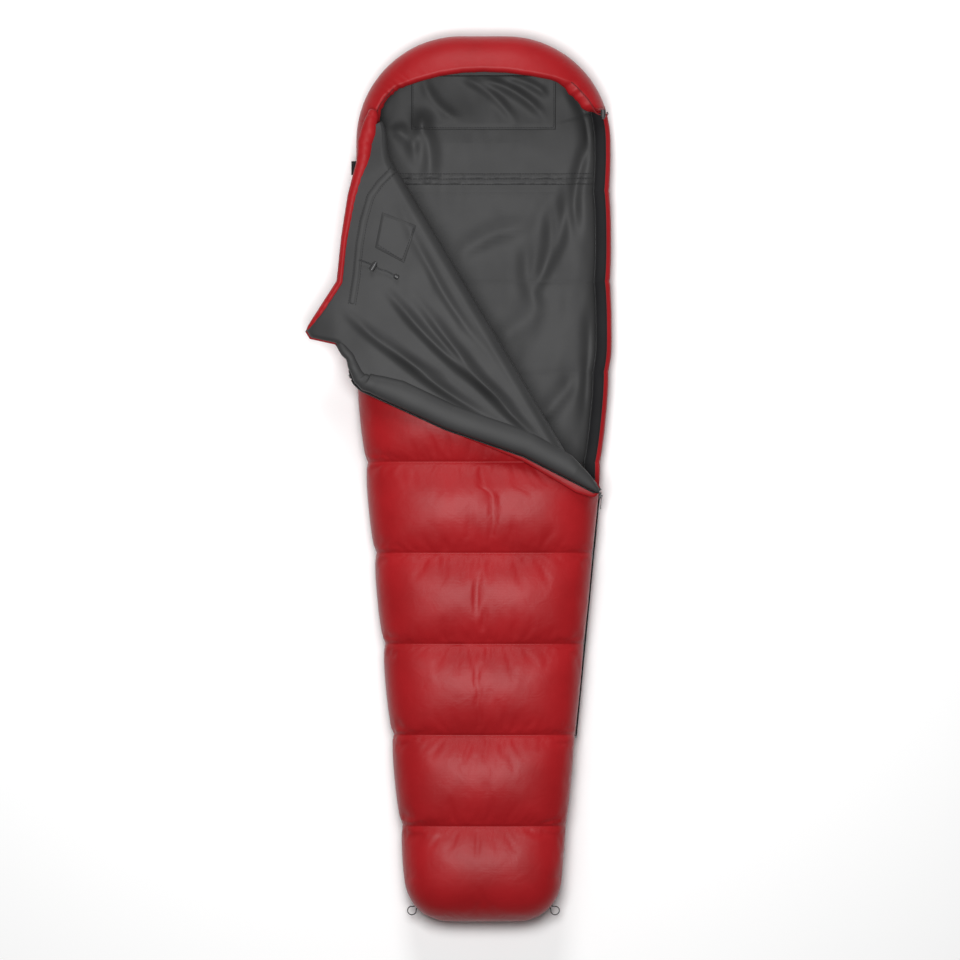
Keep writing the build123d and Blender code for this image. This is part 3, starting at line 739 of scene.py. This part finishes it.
body_lining = cloth_grid(
    "body_lining", body_rows(WALL, 150, 60, 30, -0.55, depth=0.25), GREY, turn=True
)
ruffle_lining(body_lining)
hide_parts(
    "ground_lining", "left_side_lining", "right_side_lining", "top_lining",
    "foot_lining",
)
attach(body_lining, "bag")

hood_lining = cloth_grid(
    "hood_lining_cover", hood_rows(WALL, 70, 36, 200, depth=0.25), GREY, turn=True
)
ruffle_lining(hood_lining)
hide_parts("hood_lining")
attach(hood_lining, "bag")

# ======== things laid on a surface


def surface_of(*pieces):
    """A finder for the height of a surface below a point."""
    trees = [
        BVHTree.FromPolygons(
            [vert.co for vert in piece.data.vertices],
            [face.vertices[:] for face in piece.data.polygons],
        )
        for piece in pieces
    ]

    def height(x, y, start=0.5):
        """Height of the highest surface straight below start, or None where there is none."""
        hits = [tree.ray_cast(Vector((x, y, start)), Vector((0, 0, -1)))[0] for tree in trees]
        hits = [hit.z for hit in hits if hit]
        return max(hits) if hits else None

    return height


def laid_patch(name, corners, across, up, height, lift, material):
    """A piece of cloth laid on a surface. lift(u, v) is how far it stands off it."""
    low_left, low_right, high_right, high_left = [Vector(corner) for corner in corners]
    rows = []
    last = 0.05
    for v in np.linspace(0, 1, up):
        row = []
        for u in np.linspace(0, 1, across):
            place = low_left.lerp(low_right, u).lerp(high_left.lerp(high_right, u), v)
            found = height(place.x, place.y)
            last = found if found is not None else last
            row.append((place.x, place.y, last + lift(u, v)))
        rows.append(row)
    return cloth_grid(name, rows, material)


def stitches(name, routes, height, material, pitch=0.0065, length=0.0042, width=0.0011):
    """Rows of single stitches along routes laid on a surface."""
    shape = bmesh.new()
    for route in routes:
        route = np.asarray(route, float)
        run = np.linalg.norm(np.diff(route, axis=0), axis=1).sum()
        places = resample(route, max(int(run / pitch), 2))
        for start, end in zip(places, places[1:]):
            middle = (start + end) / 2
            found = height(*middle)
            ahead = height(*end)
            if found is None or ahead is None or abs(ahead - found) > 0.008:
                continue
            step = end - start
            pitch_here = float(np.linalg.norm(step)) / 2
            tilt = math.atan2(ahead - found, pitch_here)
            turn = math.atan2(step[1], step[0])
            at = Matrix.Translation((middle[0], middle[1], found + 0.0004))
            at = at @ Matrix.Rotation(turn, 4, "Z") @ Matrix.Rotation(-tilt, 4, "Y")
            at = at @ Matrix.Diagonal((length, width, 0.0007, 1))
            bmesh.ops.create_cube(shape, size=1.0, matrix=at)
    return new_piece(name, shape, material)


def edge_lift(rise, border=0.05):
    """Lift that falls to almost nothing at a patch's borders."""
    def lift(u, v):
        """How far the patch stands off the surface there."""
        reach = min(u, 1 - u, v, 1 - v) / border
        return 0.0006 + rise * smooth(reach, 0.0, 1.0)
    return lift


def roll_along(name, route, count, side, profile, material, ring=20, flat=1.0):
    """A soft roll that follows a route. profile(share, place) gives how far its middle stands
    in from the route, its height, its half width and half height there; flat below 1 squares
    the roll."""
    places = resample(route, count)
    along = np.gradient(places, axis=0)
    along /= np.linalg.norm(along, axis=1)[:, None]
    rows = []
    for index, (place, run) in enumerate(zip(places, along)):
        share = index / (count - 1)
        inward = np.array([-run[1], run[0]]) * side
        closing = math.sqrt(max(1 - abs(2 * share - 1) ** 60, 0.0))
        middle, level, wide, high = profile(share, place)
        row = []
        for angle in np.linspace(0, 2 * math.pi, ring + 1):
            spot = place + inward * (middle + wide * closing * math.cos(angle))
            bulge = math.copysign(abs(math.sin(angle)) ** flat, math.sin(angle))
            row.append((spot[0], spot[1], level + high * closing * bulge))
        rows.append(row)
    return cloth_grid(name, rows, material, close=True, turn=side > 0)


def outline_coil(name, rows, material, pitch=0.0026, radius=0.0015, ring=8):
    """A zip's coil along places, as a round bead that swells at each tooth."""
    places = np.asarray(rows, float)
    run = np.linalg.norm(np.diff(places, axis=0), axis=1).sum()
    places = resample(places, int(run / pitch * 4))
    along = np.gradient(places, axis=0)
    along /= np.linalg.norm(along, axis=1)[:, None]
    lines = []
    for index, (place, run) in enumerate(zip(places, along)):
        side = np.cross(run, (0, 0, 1))
        side /= np.linalg.norm(side)
        up = np.cross(side, run)
        swell_here = radius * (1 + 0.28 * math.sin(index * math.pi / 2))
        lines.append([
            place + swell_here * (side * math.cos(a) + up * math.sin(a))
            for a in np.linspace(0, 2 * math.pi, ring + 1)
        ])
    return cloth_grid(name, lines, material, close=True, turn=True)


# ======== the right side's zip

zip_places = chamber_stations(ZIP_BOTTOM_Y, BRIM_END_Y, 24)
TAPE_WIDTH, TAPE_GAP, COIL_GAP, COIL_RADIUS = 0.0174, 0.0013, 0.0008, 0.0015
TAPE_THICKNESS = 0.0009
TAPE_OUT = 0.0009  # the closed zip's tapes stand off the bag's side by this much
TAPE_LIFT = 0.0024  # and the open tape off the rim's roll
RIM_TAPE_START, RIM_TAPE_STOP = 74, 158  # degrees round the roll
TAPE_TURN_OVER = 0.045


def lower_tape_row(y, count=12):
    """The lower tape across, at y: down the side where the zip is closed, over the rim's roll
    where it is open, with its coil's middle as the last point."""
    width, straight = zip_side_width(y), half_width(y)
    opened = smooth(y, ZIP_OPEN_Y - 0.005, ZIP_OPEN_Y + TAPE_TURN_OVER)
    rim_height = max(rim_size(y)[1], 0.002)
    over = 4 * opened * (1 - opened) * 0.004

    def rim_place(degrees, lift):
        """A place round the rim's roll, lift above its cloth."""
        angle = math.radians(degrees)
        return (
            width - RIM_WIDTH + (RIM_WIDTH + lift) * math.cos(angle),
            (rim_height + lift) * math.sin(angle) + over,
        )

    spread = (RIM_TAPE_STOP - RIM_TAPE_START) * np.linspace(0, 1, count)
    flat = [
        (straight + TAPE_OUT, -TAPE_GAP - TAPE_WIDTH * (1 - share))
        for share in np.linspace(0, 1, count)
    ]
    flat.append((straight + TAPE_OUT + COIL_RADIUS, -COIL_GAP - COIL_RADIUS))
    bent = [rim_place(RIM_TAPE_START + angle, TAPE_LIFT) for angle in spread]
    bent.append(rim_place(RIM_TAPE_STOP + 4, TAPE_LIFT + COIL_RADIUS / 2))
    row = [
        (a * (1 - opened) + c * opened, y, SEAM_Z + b * (1 - opened) + d * opened)
        for (a, b), (c, d) in zip(flat, bent)
    ]
    return row[:-1], row[-1]


lower_rows, lower_coil = zip(*[lower_tape_row(y) for y in zip_places])
lower_tape = cloth_grid("lower_tape", lower_rows, TAPE, turn=True)
upper_places = [y for y in zip_places if y <= ZIP_OPEN_Y]
upper_rows = [
    [
        (half_width(y) + TAPE_OUT, y, SEAM_Z + TAPE_GAP + TAPE_WIDTH * share)
        for share in np.linspace(0, 1, 6)
    ]
    for y in upper_places
]
upper_tape = cloth_grid("upper_tape", upper_rows, TAPE, turn=True)
upper_coil = [
    (half_width(y) + TAPE_OUT + COIL_RADIUS, y, SEAM_Z + COIL_GAP + COIL_RADIUS)
    for y in upper_places
]
for tape, node in ((lower_tape, "zip_tape_lower"), (upper_tape, "zip_tape_upper")):
    woven = tape.modifiers.new("woven_thickness", "SOLIDIFY")
    woven.thickness, woven.offset = TAPE_THICKNESS, 0.0
    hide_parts(node)
    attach(tape, "bag")
for name, places, node in (
    ("lower_coil", lower_coil, "zip_coil_lower"), ("upper_coil", upper_coil, "zip_coil_upper"),
):
    coil = outline_coil(name, places, COIL)
    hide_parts(node)
    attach(coil, "bag")


def draft_profile(share, place):
    """The draft tube behind the closed zip, upright along the seam line."""
    return 0.0, SEAM_Z, 0.010 * (0.6 + 0.4 * smooth(share, 0, 0.1)), 0.021


draft_route = [
    (half_width(y, WALL + 0.0105), y) for y in np.linspace(ZIP_BOTTOM_Y, ZIP_OPEN_Y - 0.004, 60)
]
draft_tube = roll_along("zip_draft_tube", draft_route, 90, 1, draft_profile, GREY)
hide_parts("draft_tube")
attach(draft_tube, "bag")

# ======== sewn inside: the neck channel and the pillow pocket

lining_height = surface_of(body_lining, hood_lining)


def inside_height(x, y):
    """Height of the lining's floor, found from inside the bag."""
    return lining_height(x, y, start=0.12)


NECK_Y = (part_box("neck_channel")[0][1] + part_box("neck_channel")[1][1]) / 2
NECK_HALF = (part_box("neck_channel")[1][1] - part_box("neck_channel")[0][1]) / 2
NECK_LEFT, NECK_RIGHT = -0.262, 0.268


def neck_lift(u, v):
    """Two soft ridges between three rows of stitches, gathered by the cord inside."""
    x = NECK_LEFT + (NECK_RIGHT - NECK_LEFT) * u
    ridge_here = abs(math.sin(2 * math.pi * v)) ** 0.7
    gather = 0.5 + 0.5 * noise_at(x / 0.012, v * 2.0, 8.0) + 0.3 * noise_at(x / 0.045, 0, 2.0)
    return 0.0008 + 0.0030 * ridge_here * gather


neck = laid_patch(
    "neck_channel_cover",
    (
        (NECK_LEFT, NECK_Y - NECK_HALF), (NECK_RIGHT, NECK_Y - NECK_HALF),
        (NECK_RIGHT, NECK_Y + NECK_HALF), (NECK_LEFT, NECK_Y + NECK_HALF),
    ),
    240, 33, inside_height, neck_lift, GREY,
)
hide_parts("neck_channel")
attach(neck, "bag")
neck_height = surface_of(neck)
neck_stitches = stitches(
    "neck_stitches",
    [
        [(NECK_LEFT + 0.002, NECK_Y + offset), (NECK_RIGHT - 0.002, NECK_Y + offset)]
        for offset in (-NECK_HALF + 0.0008, 0.0, NECK_HALF - 0.0008)
    ],
    neck_height, THREAD_GREY,
)
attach(neck_stitches, "bag")

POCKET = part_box("pillow_pocket")
pocket_corners = (
    (POCKET[0][0], POCKET[0][1]), (POCKET[1][0], POCKET[0][1]),
    (POCKET[1][0], POCKET[1][1]), (POCKET[0][0], POCKET[1][1]),
)
POCKET_FOLDS = (
    ((-0.020, 0.980), (0.150, 0.885), 0.013, 0.007, 0.016),
    ((-0.060, 0.985), (0.080, 0.870), 0.012, 0.005, 0.014),
    ((0.040, 0.985), (0.165, 0.930), 0.011, 0.005, 0.010),
    ((-0.150, 0.975), (-0.060, 0.872), 0.014, 0.004, -0.012),
)


def pocket_lift(u, v):
    """Flat at its stitched sides, loose with soft folds in its middle."""
    x = pocket_corners[0][0] + (pocket_corners[1][0] - pocket_corners[0][0]) * u
    y = pocket_corners[0][1] + (pocket_corners[2][1] - pocket_corners[0][1]) * v
    inside = smooth(min(u, 1 - u) / 0.1, 0, 1) * smooth(v / 0.12, 0, 1)
    folds = sum(ridge(Vector((x, y)), *fold) for fold in POCKET_FOLDS)
    return 0.0024 + (0.0015 + folds) * inside


pillow_pocket = laid_patch(
    "pillow_pocket_cover", pocket_corners, 110, 48, inside_height, pocket_lift, GREY
)
pocket_cloth = pillow_pocket.modifiers.new("cloth_thickness", "SOLIDIFY")
pocket_cloth.thickness, pocket_cloth.offset = 0.0022, -1.0
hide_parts("pillow_pocket")
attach(pillow_pocket, "bag")
pocket_height = surface_of(pillow_pocket)
HEM_IN = 0.0045
pocket_inner = [
    (pocket_corners[0][0] + HEM_IN, pocket_corners[3][1] - HEM_IN),
    (pocket_corners[0][0] + HEM_IN, pocket_corners[0][1] + HEM_IN),
    (pocket_corners[1][0] - HEM_IN, pocket_corners[0][1] + HEM_IN),
    (pocket_corners[1][0] - HEM_IN, pocket_corners[2][1] - HEM_IN),
]
pocket_stitches = stitches("pillow_pocket_stitches", [pocket_inner], pocket_height, THREAD_GREY)
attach(pocket_stitches, "bag")

# ======== the flap

ZIP_EDGE = [  # from the zip to the flap's corner and round it to the notch beside the tip
    (0.280, -0.032), (0.0985, 0.0608), (-0.0912, 0.1265), (-0.2914, 0.2189), (-0.3077, 0.2342),
    (-0.3222, 0.2675), (-0.3283, 0.2894), (-0.3376, 0.2994), (-0.3556, 0.3266),
]
TIP_LOW, TIP = (-0.4178, 0.3405), (-0.4283, 0.3580)
CHIN_EDGE = [  # from the tip up to the hood
    TIP, (-0.3782, 0.4353), (-0.3514, 0.4767), (-0.3402, 0.5846), (-0.3247, 0.6834),
    (-0.3100, 0.7393), (-0.2906, 0.8123), (-0.2600, 0.8700), (-0.2540, 0.8900),
]
FLAP_OUTLINE = np.array(ZIP_EDGE + [TIP_LOW] + CHIN_EDGE)
FLAP_THICK = WALL
FLAP_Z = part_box("flap_lining")[1][2] - WALL


def on_fold(points):
    """Plan places as how far they lie along the fold and away from it."""
    offset = np.asarray(points, float) - np.array(FOLD_LOW)
    return offset @ np.array(FOLD_ALONG), offset @ np.array(FOLD_AWAY)


EDGE_ALONG, EDGE_AWAY = on_fold(FLAP_OUTLINE)


def edge_reach(x, y):
    """How far places are from the flap's outline."""
    places = np.stack([x, y], axis=-1)
    best = np.full(np.shape(x), 9.0)
    for start, end in zip(FLAP_OUTLINE, FLAP_OUTLINE[1:]):
        run = end - start
        share = np.clip(((places - start) @ run) / (run @ run), 0, 1)
        near = start + share[..., None] * run
        best = np.minimum(best, np.linalg.norm(places - near, axis=-1))
    return best


def flap_level(x):
    """Height of the flap's underside, which bends down beyond the bag's side."""
    share = np.clip(np.abs(x) / 0.45, 0, 0.999)
    return SEAM_Z + (FLAP_Z - SEAM_Z) * (1 - share**5) ** 0.2


FLAP_FOLDS = (  # start and end in plan, width, height, bow
    ((0.235, 0.000), (-0.150, 0.420), 0.013, 0.014, 0.018),
    ((0.205, 0.030), (-0.235, 0.330), 0.014, 0.016, 0.022),
    ((0.150, 0.045), (-0.290, 0.270), 0.012, 0.010, 0.014),
    ((0.180, 0.110), (-0.060, 0.470), 0.014, 0.011, 0.020),
    ((0.080, 0.170), (-0.230, 0.450), 0.012, 0.012, 0.018),
    ((0.020, 0.300), (-0.150, 0.560), 0.013, 0.008, 0.014),
    ((-0.100, 0.240), (-0.330, 0.400), 0.012, 0.009, 0.012),
    ((0.060, 0.110), (-0.140, 0.200), 0.010, 0.010, 0.008),
    ((-0.120, 0.500), (-0.200, 0.700), 0.014, 0.005, 0.010),
    ((-0.010, 0.090), (-0.280, 0.230), 0.011, 0.008, 0.010),
)
LOCK_AT = Vector(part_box("collar_lock_body")[0][:2]).lerp(
    Vector(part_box("collar_lock_body")[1][:2]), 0.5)


def flap_crease(x, y):
    """Soft folds that run out from the zip's end, with calm cloth under the cord lock."""
    place = Vector((x, y))
    height = sum(ridge(place, *fold) for fold in FLAP_FOLDS)
    height += 0.0025 * noise_at(x / 0.06, y / 0.09, 5.0)
    start, end = Vector(ZIP_EDGE[0]), Vector(ZIP_EDGE[3])
    from_zip = (place - start).dot(Vector((start.y - end.y, end.x - start.x)).normalized())
    calm = smooth((place - LOCK_AT).length, 0.03, 0.09)
    return height * calm * smooth(abs(from_zip), 0.045, 0.085)


def fold_ends(along):
    """1 along the fold, falling to 0 at both its ends."""
    return smooth(along, 0.0, 0.10) * (1 - smooth(along, FOLD_LENGTH - 0.10, FOLD_LENGTH))


def flap_row(along, lining):
    """One row of points across the flap. The lining comes up out of the bag, round the fold and
    over the flap; the shell goes back under it, from the outer edge to the fold."""
    reach = float(np.interp(along, EDGE_ALONG, EDGE_AWAY))
    ends = fold_ends(along)
    back = fold_back(along)
    thick = FLAP_THICK * (0.45 + 0.55 * ends)
    nose = NOSE * (0.3 + 0.7 * ends)
    level = FLAP_Z - 0.006 * (1 - ends)

    def spot(away):
        """The place in plan that far from the fold."""
        return FOLD_LOW + FOLD_ALONG * along + FOLD_AWAY * away

    if not lining:
        rows = []
        for angle in np.linspace(30, -90, 10):
            place = spot(reach + 0.003 * math.cos(math.radians(angle)))
            base = float(flap_level(place.x))
            rows.append((*place, base + 0.010 + 0.009 * math.sin(math.radians(angle))))
        for share in np.linspace(0.985, 0.0, 56):
            place = spot(back + share * (reach - back))
            rows.append((*place, float(flap_level(place.x)) + 0.001))
        return rows
    rows = []
    for angle in np.linspace(-90, 78, 16):
        turn = math.radians(angle)
        rows.append((*spot(back - nose * math.cos(turn)), level + thick * math.sin(turn)))
    shares = np.linspace(0.0, 1.0, 118)
    places = [spot(back + share * (reach - back)) for share in shares]
    x = np.array([place.x for place in places])
    y = np.array([place.y for place in places])
    near = np.clip(edge_reach(x, y) / (thick / 2), 0, 1)
    base = flap_level(x) + thick / 2 + thick / 2 * np.sqrt(1 - (1 - near) ** 2)
    for place, z, reach_in in zip(places, base, near):
        start = smooth((place - spot(back)).length, 0.0, 0.05)
        rows.append((*place, z + flap_crease(*place) * ends * start * reach_in))
    return rows


flap_stations = np.linspace(0.003, FOLD_LENGTH - 0.002, 250)
flap_lining = cloth_grid(
    "flap_lining_cover", [flap_row(along, True) for along in flap_stations], GREY, turn=True
)
flap_shell = cloth_grid(
    "flap_shell_cover", [flap_row(along, False) for along in flap_stations], RED, turn=True
)


def sew_to_flap(piece, slot, *nodes):
    """Hide the CAD parts the piece replaces, and bake the piece's placement into its mesh."""
    if nodes:
        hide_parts(*nodes)
    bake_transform(piece)


sew_to_flap(flap_lining, "lining_fabric", "flap_lining", "flap_fill")
sew_to_flap(flap_shell, "shell_fabric", "flap_shell")
# two strips of shell cloth close the fold when the flap is turned over
STRIP_LIFT = 0.002  # one lies this far below the fold's level, the other above it
STRIP_BACK, STRIP_FORWARD = 0.75, 0.012  # a share of the fold's nose, and metres
for strip_name, body, lift in (
    ("top_fold_strip", "bag", -STRIP_LIFT), ("flap_fold_strip", "flap", STRIP_LIFT),
):
    strip_rows = []
    for along in flap_stations[4:-4]:
        ends, back = fold_ends(along), fold_back(along)
        nose = NOSE * (0.3 + 0.7 * ends)
        strip_rows.append([
            (*(FOLD_LOW + FOLD_ALONG * along + FOLD_AWAY * away), FLAP_Z + lift)
            for away in np.linspace(back - STRIP_BACK * nose, back + STRIP_FORWARD, 6)
        ])
    strip = cloth_grid(strip_name, strip_rows, RED, turn=lift > 0)
    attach(strip, body)
flap_height = surface_of(flap_lining)


def between(share, *pairs):
    """A value that passes through (share, value) pairs."""
    return float(np.interp(share, [at for at, _ in pairs], [value for _, value in pairs]))


def tube_profile(share, place):
    """The draft tube: slim at the zip's end, full along the edge, gathered round the corner."""
    wide = between(share, (0, 0.004), (0.05, 0.015), (0.13, 0.026), (0.3, 0.030), (0.72, 0.031),
                   (0.80, 0.025), (0.88, 0.015), (1, 0.010))
    high = between(share, (0, 0.006), (0.1, 0.016), (0.8, 0.019), (1, 0.013))
    gather = 1 + 0.09 * smooth(share, 0.76, 0.86) * noise_at(share * 34, 0.5, 2.0) * 2
    level = float(flap_level(place[0])) + 0.021
    return wide - 0.004, level, wide * gather, high * gather


flap_tube = roll_along(
    "flap_draft_tube_cover", ZIP_EDGE, 220, -1, tube_profile, GREY, ring=32, flat=0.6
)
sew_to_flap(flap_tube, "lining_fabric", "flap_draft_tube")


def hem_profile(share, place):
    """The chin hem: a rolled red binding, broad beside the hood and slim at the tip."""
    wide = between(share, (0, 0.008), (0.12, 0.010), (0.4, 0.0095), (0.7, 0.015), (0.9, 0.020),
                   (1, 0.012))
    level = float(flap_level(place[0])) + between(
        share, (0, 0.0155), (0.8, 0.0155), (0.93, 0.006), (1, -0.012)
    )
    ripple = 1 + 0.03 * math.sin(share * 160) + 0.05 * noise_at(share * 20, 1.0)
    tuck = 0.020 * smooth(share, 0.74, 0.96)
    high = 0.0165 * ripple * between(share, (0, 0.6), (0.1, 1), (1, 0.9))
    return wide - 0.003 - tuck, level, wide, high


chin_hem = roll_along("chin_hem_roll", CHIN_EDGE, 240, -1, hem_profile, HEM_RED, ring=24)
sew_to_flap(chin_hem, "hem_fabric", "chin_hem")


def tip_profile(share, place):
    """A thin binding round the flap's tip."""
    return 0.002, float(flap_level(place[0])) + 0.009, 0.005, 0.008


tip_hem = roll_along(
    "tip_hem_roll", [ZIP_EDGE[-1], TIP_LOW, TIP], 50, -1, tip_profile, HEM_RED, ring=16
)
sew_to_flap(tip_hem, "hem_fabric")


def lip_profile(share, place):
    """The flap's red edge, which shows beyond the zip's tape near the zip's end."""
    out = between(share, (0, 0.018), (0.08, 0.027), (0.3, 0.018), (0.55, 0.0105), (0.68, 0.003),
                  (1, 0.001))
    return (0.016 - out) / 2, float(flap_level(place[0])) + 0.003, (0.016 + out) / 2, 0.0035


lip = roll_along("flap_zip_edge", ZIP_EDGE[:5], 150, -1, lip_profile, RED, ring=14)
sew_to_flap(lip, "shell_fabric")


def tape_profile(share, place):
    """The flap's zip tape: a flat strip along the flap's edge."""
    return -0.001, float(flap_level(place[0])) + 0.0085, 0.0062, 0.0008


flap_tape = roll_along("flap_tape", ZIP_EDGE[:6], 160, -1, tape_profile, TAPE, ring=10)
sew_to_flap(flap_tape, "zip_tape", "flap_zip_tape")
flap_edge = resample(ZIP_EDGE[:6], 200)
flap_run = np.gradient(flap_edge, axis=0)
flap_run /= np.linalg.norm(flap_run, axis=1)[:, None]
flap_out = flap_edge + np.stack([-flap_run[:, 1], flap_run[:, 0]], axis=1) * 0.0078
flap_coil_places = [(x, y, float(flap_level(x)) + 0.0085) for x, y in flap_out[3:-8]]
flap_coil = outline_coil("flap_coil", flap_coil_places, COIL)
sew_to_flap(flap_coil, "zip_coil", "flap_zip_coil")


def stop_profile(share, place):
    """The clamp at the end of the flap's coil."""
    return -0.0078, float(flap_level(place[0])) + 0.0085, 0.0022, 0.0019


top_stop = roll_along("flap_top_stop_clamp", flap_edge[-8:-4], 12, -1, stop_profile, COIL, ring=12)
sew_to_flap(top_stop, "zip_coil", "flap_top_stop")

# the stash pocket, the collar's channel and their stitches
STASH = ((-0.261, 0.557), (-0.191, 0.520), (-0.162, 0.610), (-0.244, 0.642))
stash_pocket = laid_patch(
    "stash_pocket_cover", STASH, 50, 60, flap_height, edge_lift(0.0016, 0.08), GREY
)
stash_cloth = stash_pocket.modifiers.new("cloth_thickness", "SOLIDIFY")
stash_cloth.thickness, stash_cloth.offset = 0.0010, -1.0
sew_to_flap(stash_pocket, "lining_fabric", "stash_pocket")
COLLAR_LINE = [(-0.2200, 0.7515), (-0.2560, 0.7150), (-0.2785, 0.6834), (-0.2960, 0.6226),
               (-0.3060, 0.5650), (-0.3130, 0.4900), (-0.3240, 0.4200)]


def collar_profile(share, place):
    """The collar's channel: a low flat tube on the lining."""
    found = flap_height(place[0], place[1])
    return 0.007, (found or FLAP_Z) - 0.0004, 0.0078, 0.0019


collar = roll_along("collar_channel_cover", COLLAR_LINE, 90, 1, collar_profile, GREY, ring=18)
sew_to_flap(collar, "lining_fabric", "flap_collar_channel")
collar_line = resample(COLLAR_LINE, 60)
collar_run = np.gradient(collar_line, axis=0)
collar_run /= np.linalg.norm(collar_run, axis=1)[:, None]
collar_side = np.stack([-collar_run[:, 1], collar_run[:, 0]], axis=1)
stash_height = surface_of(stash_pocket, flap_lining)
flap_stitches = stitches(
    "flap_stitches",
    [
        collar_line - collar_side * 0.002, collar_line + collar_side * 0.0162,
        [(-0.255, 0.564), (-0.196, 0.527), (-0.168, 0.604)],
    ],
    stash_height, THREAD_GREY,
)
sew_to_flap(flap_stitches, "lining_fabric")

# ======== cords, each along its own route

LOOP_ROUTE = (
    (-2, -1.6), (7, -4), (13, -11), (24, -9.5), (29, 0), (24, 9.5), (13, 11), (7, 4), (-2, 1.6),
)
COLLAR_ROUTE = ((-300, 526), (-281, 522), (-247, 502), (-231, 500), (-214, 489))
CORD_DIAMETER = 0.0025


def cord(name, route, material):
    """A round cord on one smooth curve."""
    curve = bpy.data.curves.new(name, "CURVE")
    curve.dimensions = "3D"
    curve.bevel_depth, curve.bevel_resolution = CORD_DIAMETER / 2, 4
    curve.use_fill_caps = True
    curve.resolution_u = 12
    line = curve.splines.new("NURBS")
    line.points.add(len(route) - 1)
    for point, place in zip(line.points, route):
        point.co = (*place, 1.0)
    line.order_u, line.use_endpoint_u = 3, True
    curve.materials.append(material)
    piece = bpy.data.objects.new(name, curve)
    bpy.context.scene.collection.objects.link(piece)
    return piece


for side_name, side in (("left", -1), ("right", 1)):
    angle, droop = math.radians(42), math.radians(12)
    out = Vector((side * math.cos(angle), -math.sin(angle), 0))
    forward = Vector((out.x * math.cos(droop), out.y * math.cos(droop), -math.sin(droop)))
    normal = Vector((out.x * math.sin(droop), out.y * math.sin(droop), math.cos(droop)))
    start = Vector((side * FOOT_SPREAD, FOOT_Y, SEAM_Z)) + out * FOOT_RADIUS
    places = [
        start + (forward * x + normal.cross(forward) * y) * MM for x, y in LOOP_ROUTE
    ]
    loop = cord(f"foot_loop_{side_name}_cord", places, CORD_GREY)
    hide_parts(f"foot_loop_{side_name}")
    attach(loop, "bag")

COLLAR_Z = (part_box("collar_cord")[0][2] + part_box("collar_cord")[1][2]) / 2
collar_places = [(x * MM, y * MM, COLLAR_Z) for x, y in COLLAR_ROUTE]
collar_cord = cord("collar_drawcord", collar_places, CORD_GREY)
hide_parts("collar_cord")
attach(collar_cord, "flap")

# ======== the CAD pieces that stay, with their finish

NODE_FINISH = {
    "zip_bottom_stop": COIL, "zip_top_stop": COIL,
    "zip_slider": METAL, "zip_pull_tab": METAL,
    "hood_lock_body": LOCK, "hood_lock_button": LOCK,
    "collar_lock_body": LOCK, "collar_lock_button": LOCK,
    "collar_cord_stopper": LOCK, "hood_drawcord": CORD_RED, "neck_cord": CORD_RED,
    "label_tab": LABEL,
}
for node_name, finish in NODE_FINISH.items():
    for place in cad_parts[node_name].material_slots:
        place.material = finish


def pressed_spring(node_name, name, body):
    """A lock's spring, copied unchanged from its CAD part in steel and set on the given body."""
    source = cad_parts[node_name]
    turns = source.data.copy()
    turns.transform(source.matrix_world)
    turns.materials.clear()
    turns.materials.append(STEEL)
    piece = bpy.data.objects.new(name, turns)
    bpy.context.scene.collection.objects.link(piece)
    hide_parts(node_name)
    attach(piece, body)
    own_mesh(piece)


bpy.context.view_layer.update()
pressed_spring("hood_lock_spring", "hood_spring_turns", "bag")
pressed_spring(
    "collar_lock_spring", "collar_spring_turns", "flap",
)

# ======== the stage: a pale floor, soft light and a camera straight above

floor_shape = bmesh.new()
bmesh.ops.create_grid(floor_shape, x_segments=1, y_segments=1, size=12.0)
floor_finish = bpy.data.materials.new("pale_floor")
floor_finish.use_nodes = True
floor_finish.node_tree.nodes["Principled BSDF"].inputs["Base Color"].default_value = (
    0.93, 0.93, 0.93, 1)
floor_finish.node_tree.nodes["Principled BSDF"].inputs["Roughness"].default_value = 0.9
floor = new_piece("floor", floor_shape, floor_finish)

VIEW_WIDTH, VIEW_MIDDLE = 2.335, (-0.0085, -0.0024)
CAMERA_HEIGHT = 14.0
camera_data = bpy.data.cameras.new("camera")
camera_data.sensor_width = 36.0
camera_data.lens = camera_data.sensor_width * (CAMERA_HEIGHT - SEAM_Z) / VIEW_WIDTH
camera_data.clip_end = 100.0
camera = bpy.data.objects.new("camera", camera_data)
camera.location = (*VIEW_MIDDLE, CAMERA_HEIGHT)
bpy.context.scene.collection.objects.link(camera)
bpy.context.scene.camera = camera


def soft_light(name, place, target, size, power):
    """A large soft light, turned to face a point."""
    data = bpy.data.lights.new(name, "AREA")
    data.shape, data.size, data.energy = "SQUARE", size, power
    light = bpy.data.objects.new(name, data)
    light.location = place
    light.rotation_euler = (Vector(target) - Vector(place)).to_track_quat("-Z", "Y").to_euler()
    bpy.context.scene.collection.objects.link(light)


soft_light("head_light", (-0.3, 3.8, 3.4), target=(0, 0, 0), size=1.6, power=110)
soft_light("top_light", (-0.15, 0.1, 4.6), target=(0, 0, 0), size=1.4, power=195)
ROOM_LIGHT = 0.11
world = bpy.data.worlds.new("studio")
world.use_nodes = True
world.node_tree.nodes["Background"].inputs["Color"].default_value = (1, 1, 1, 1)
world.node_tree.nodes["Background"].inputs["Strength"].default_value = ROOM_LIGHT
bpy.context.scene.world = world
bpy.context.scene.view_settings.view_transform = "Standard"
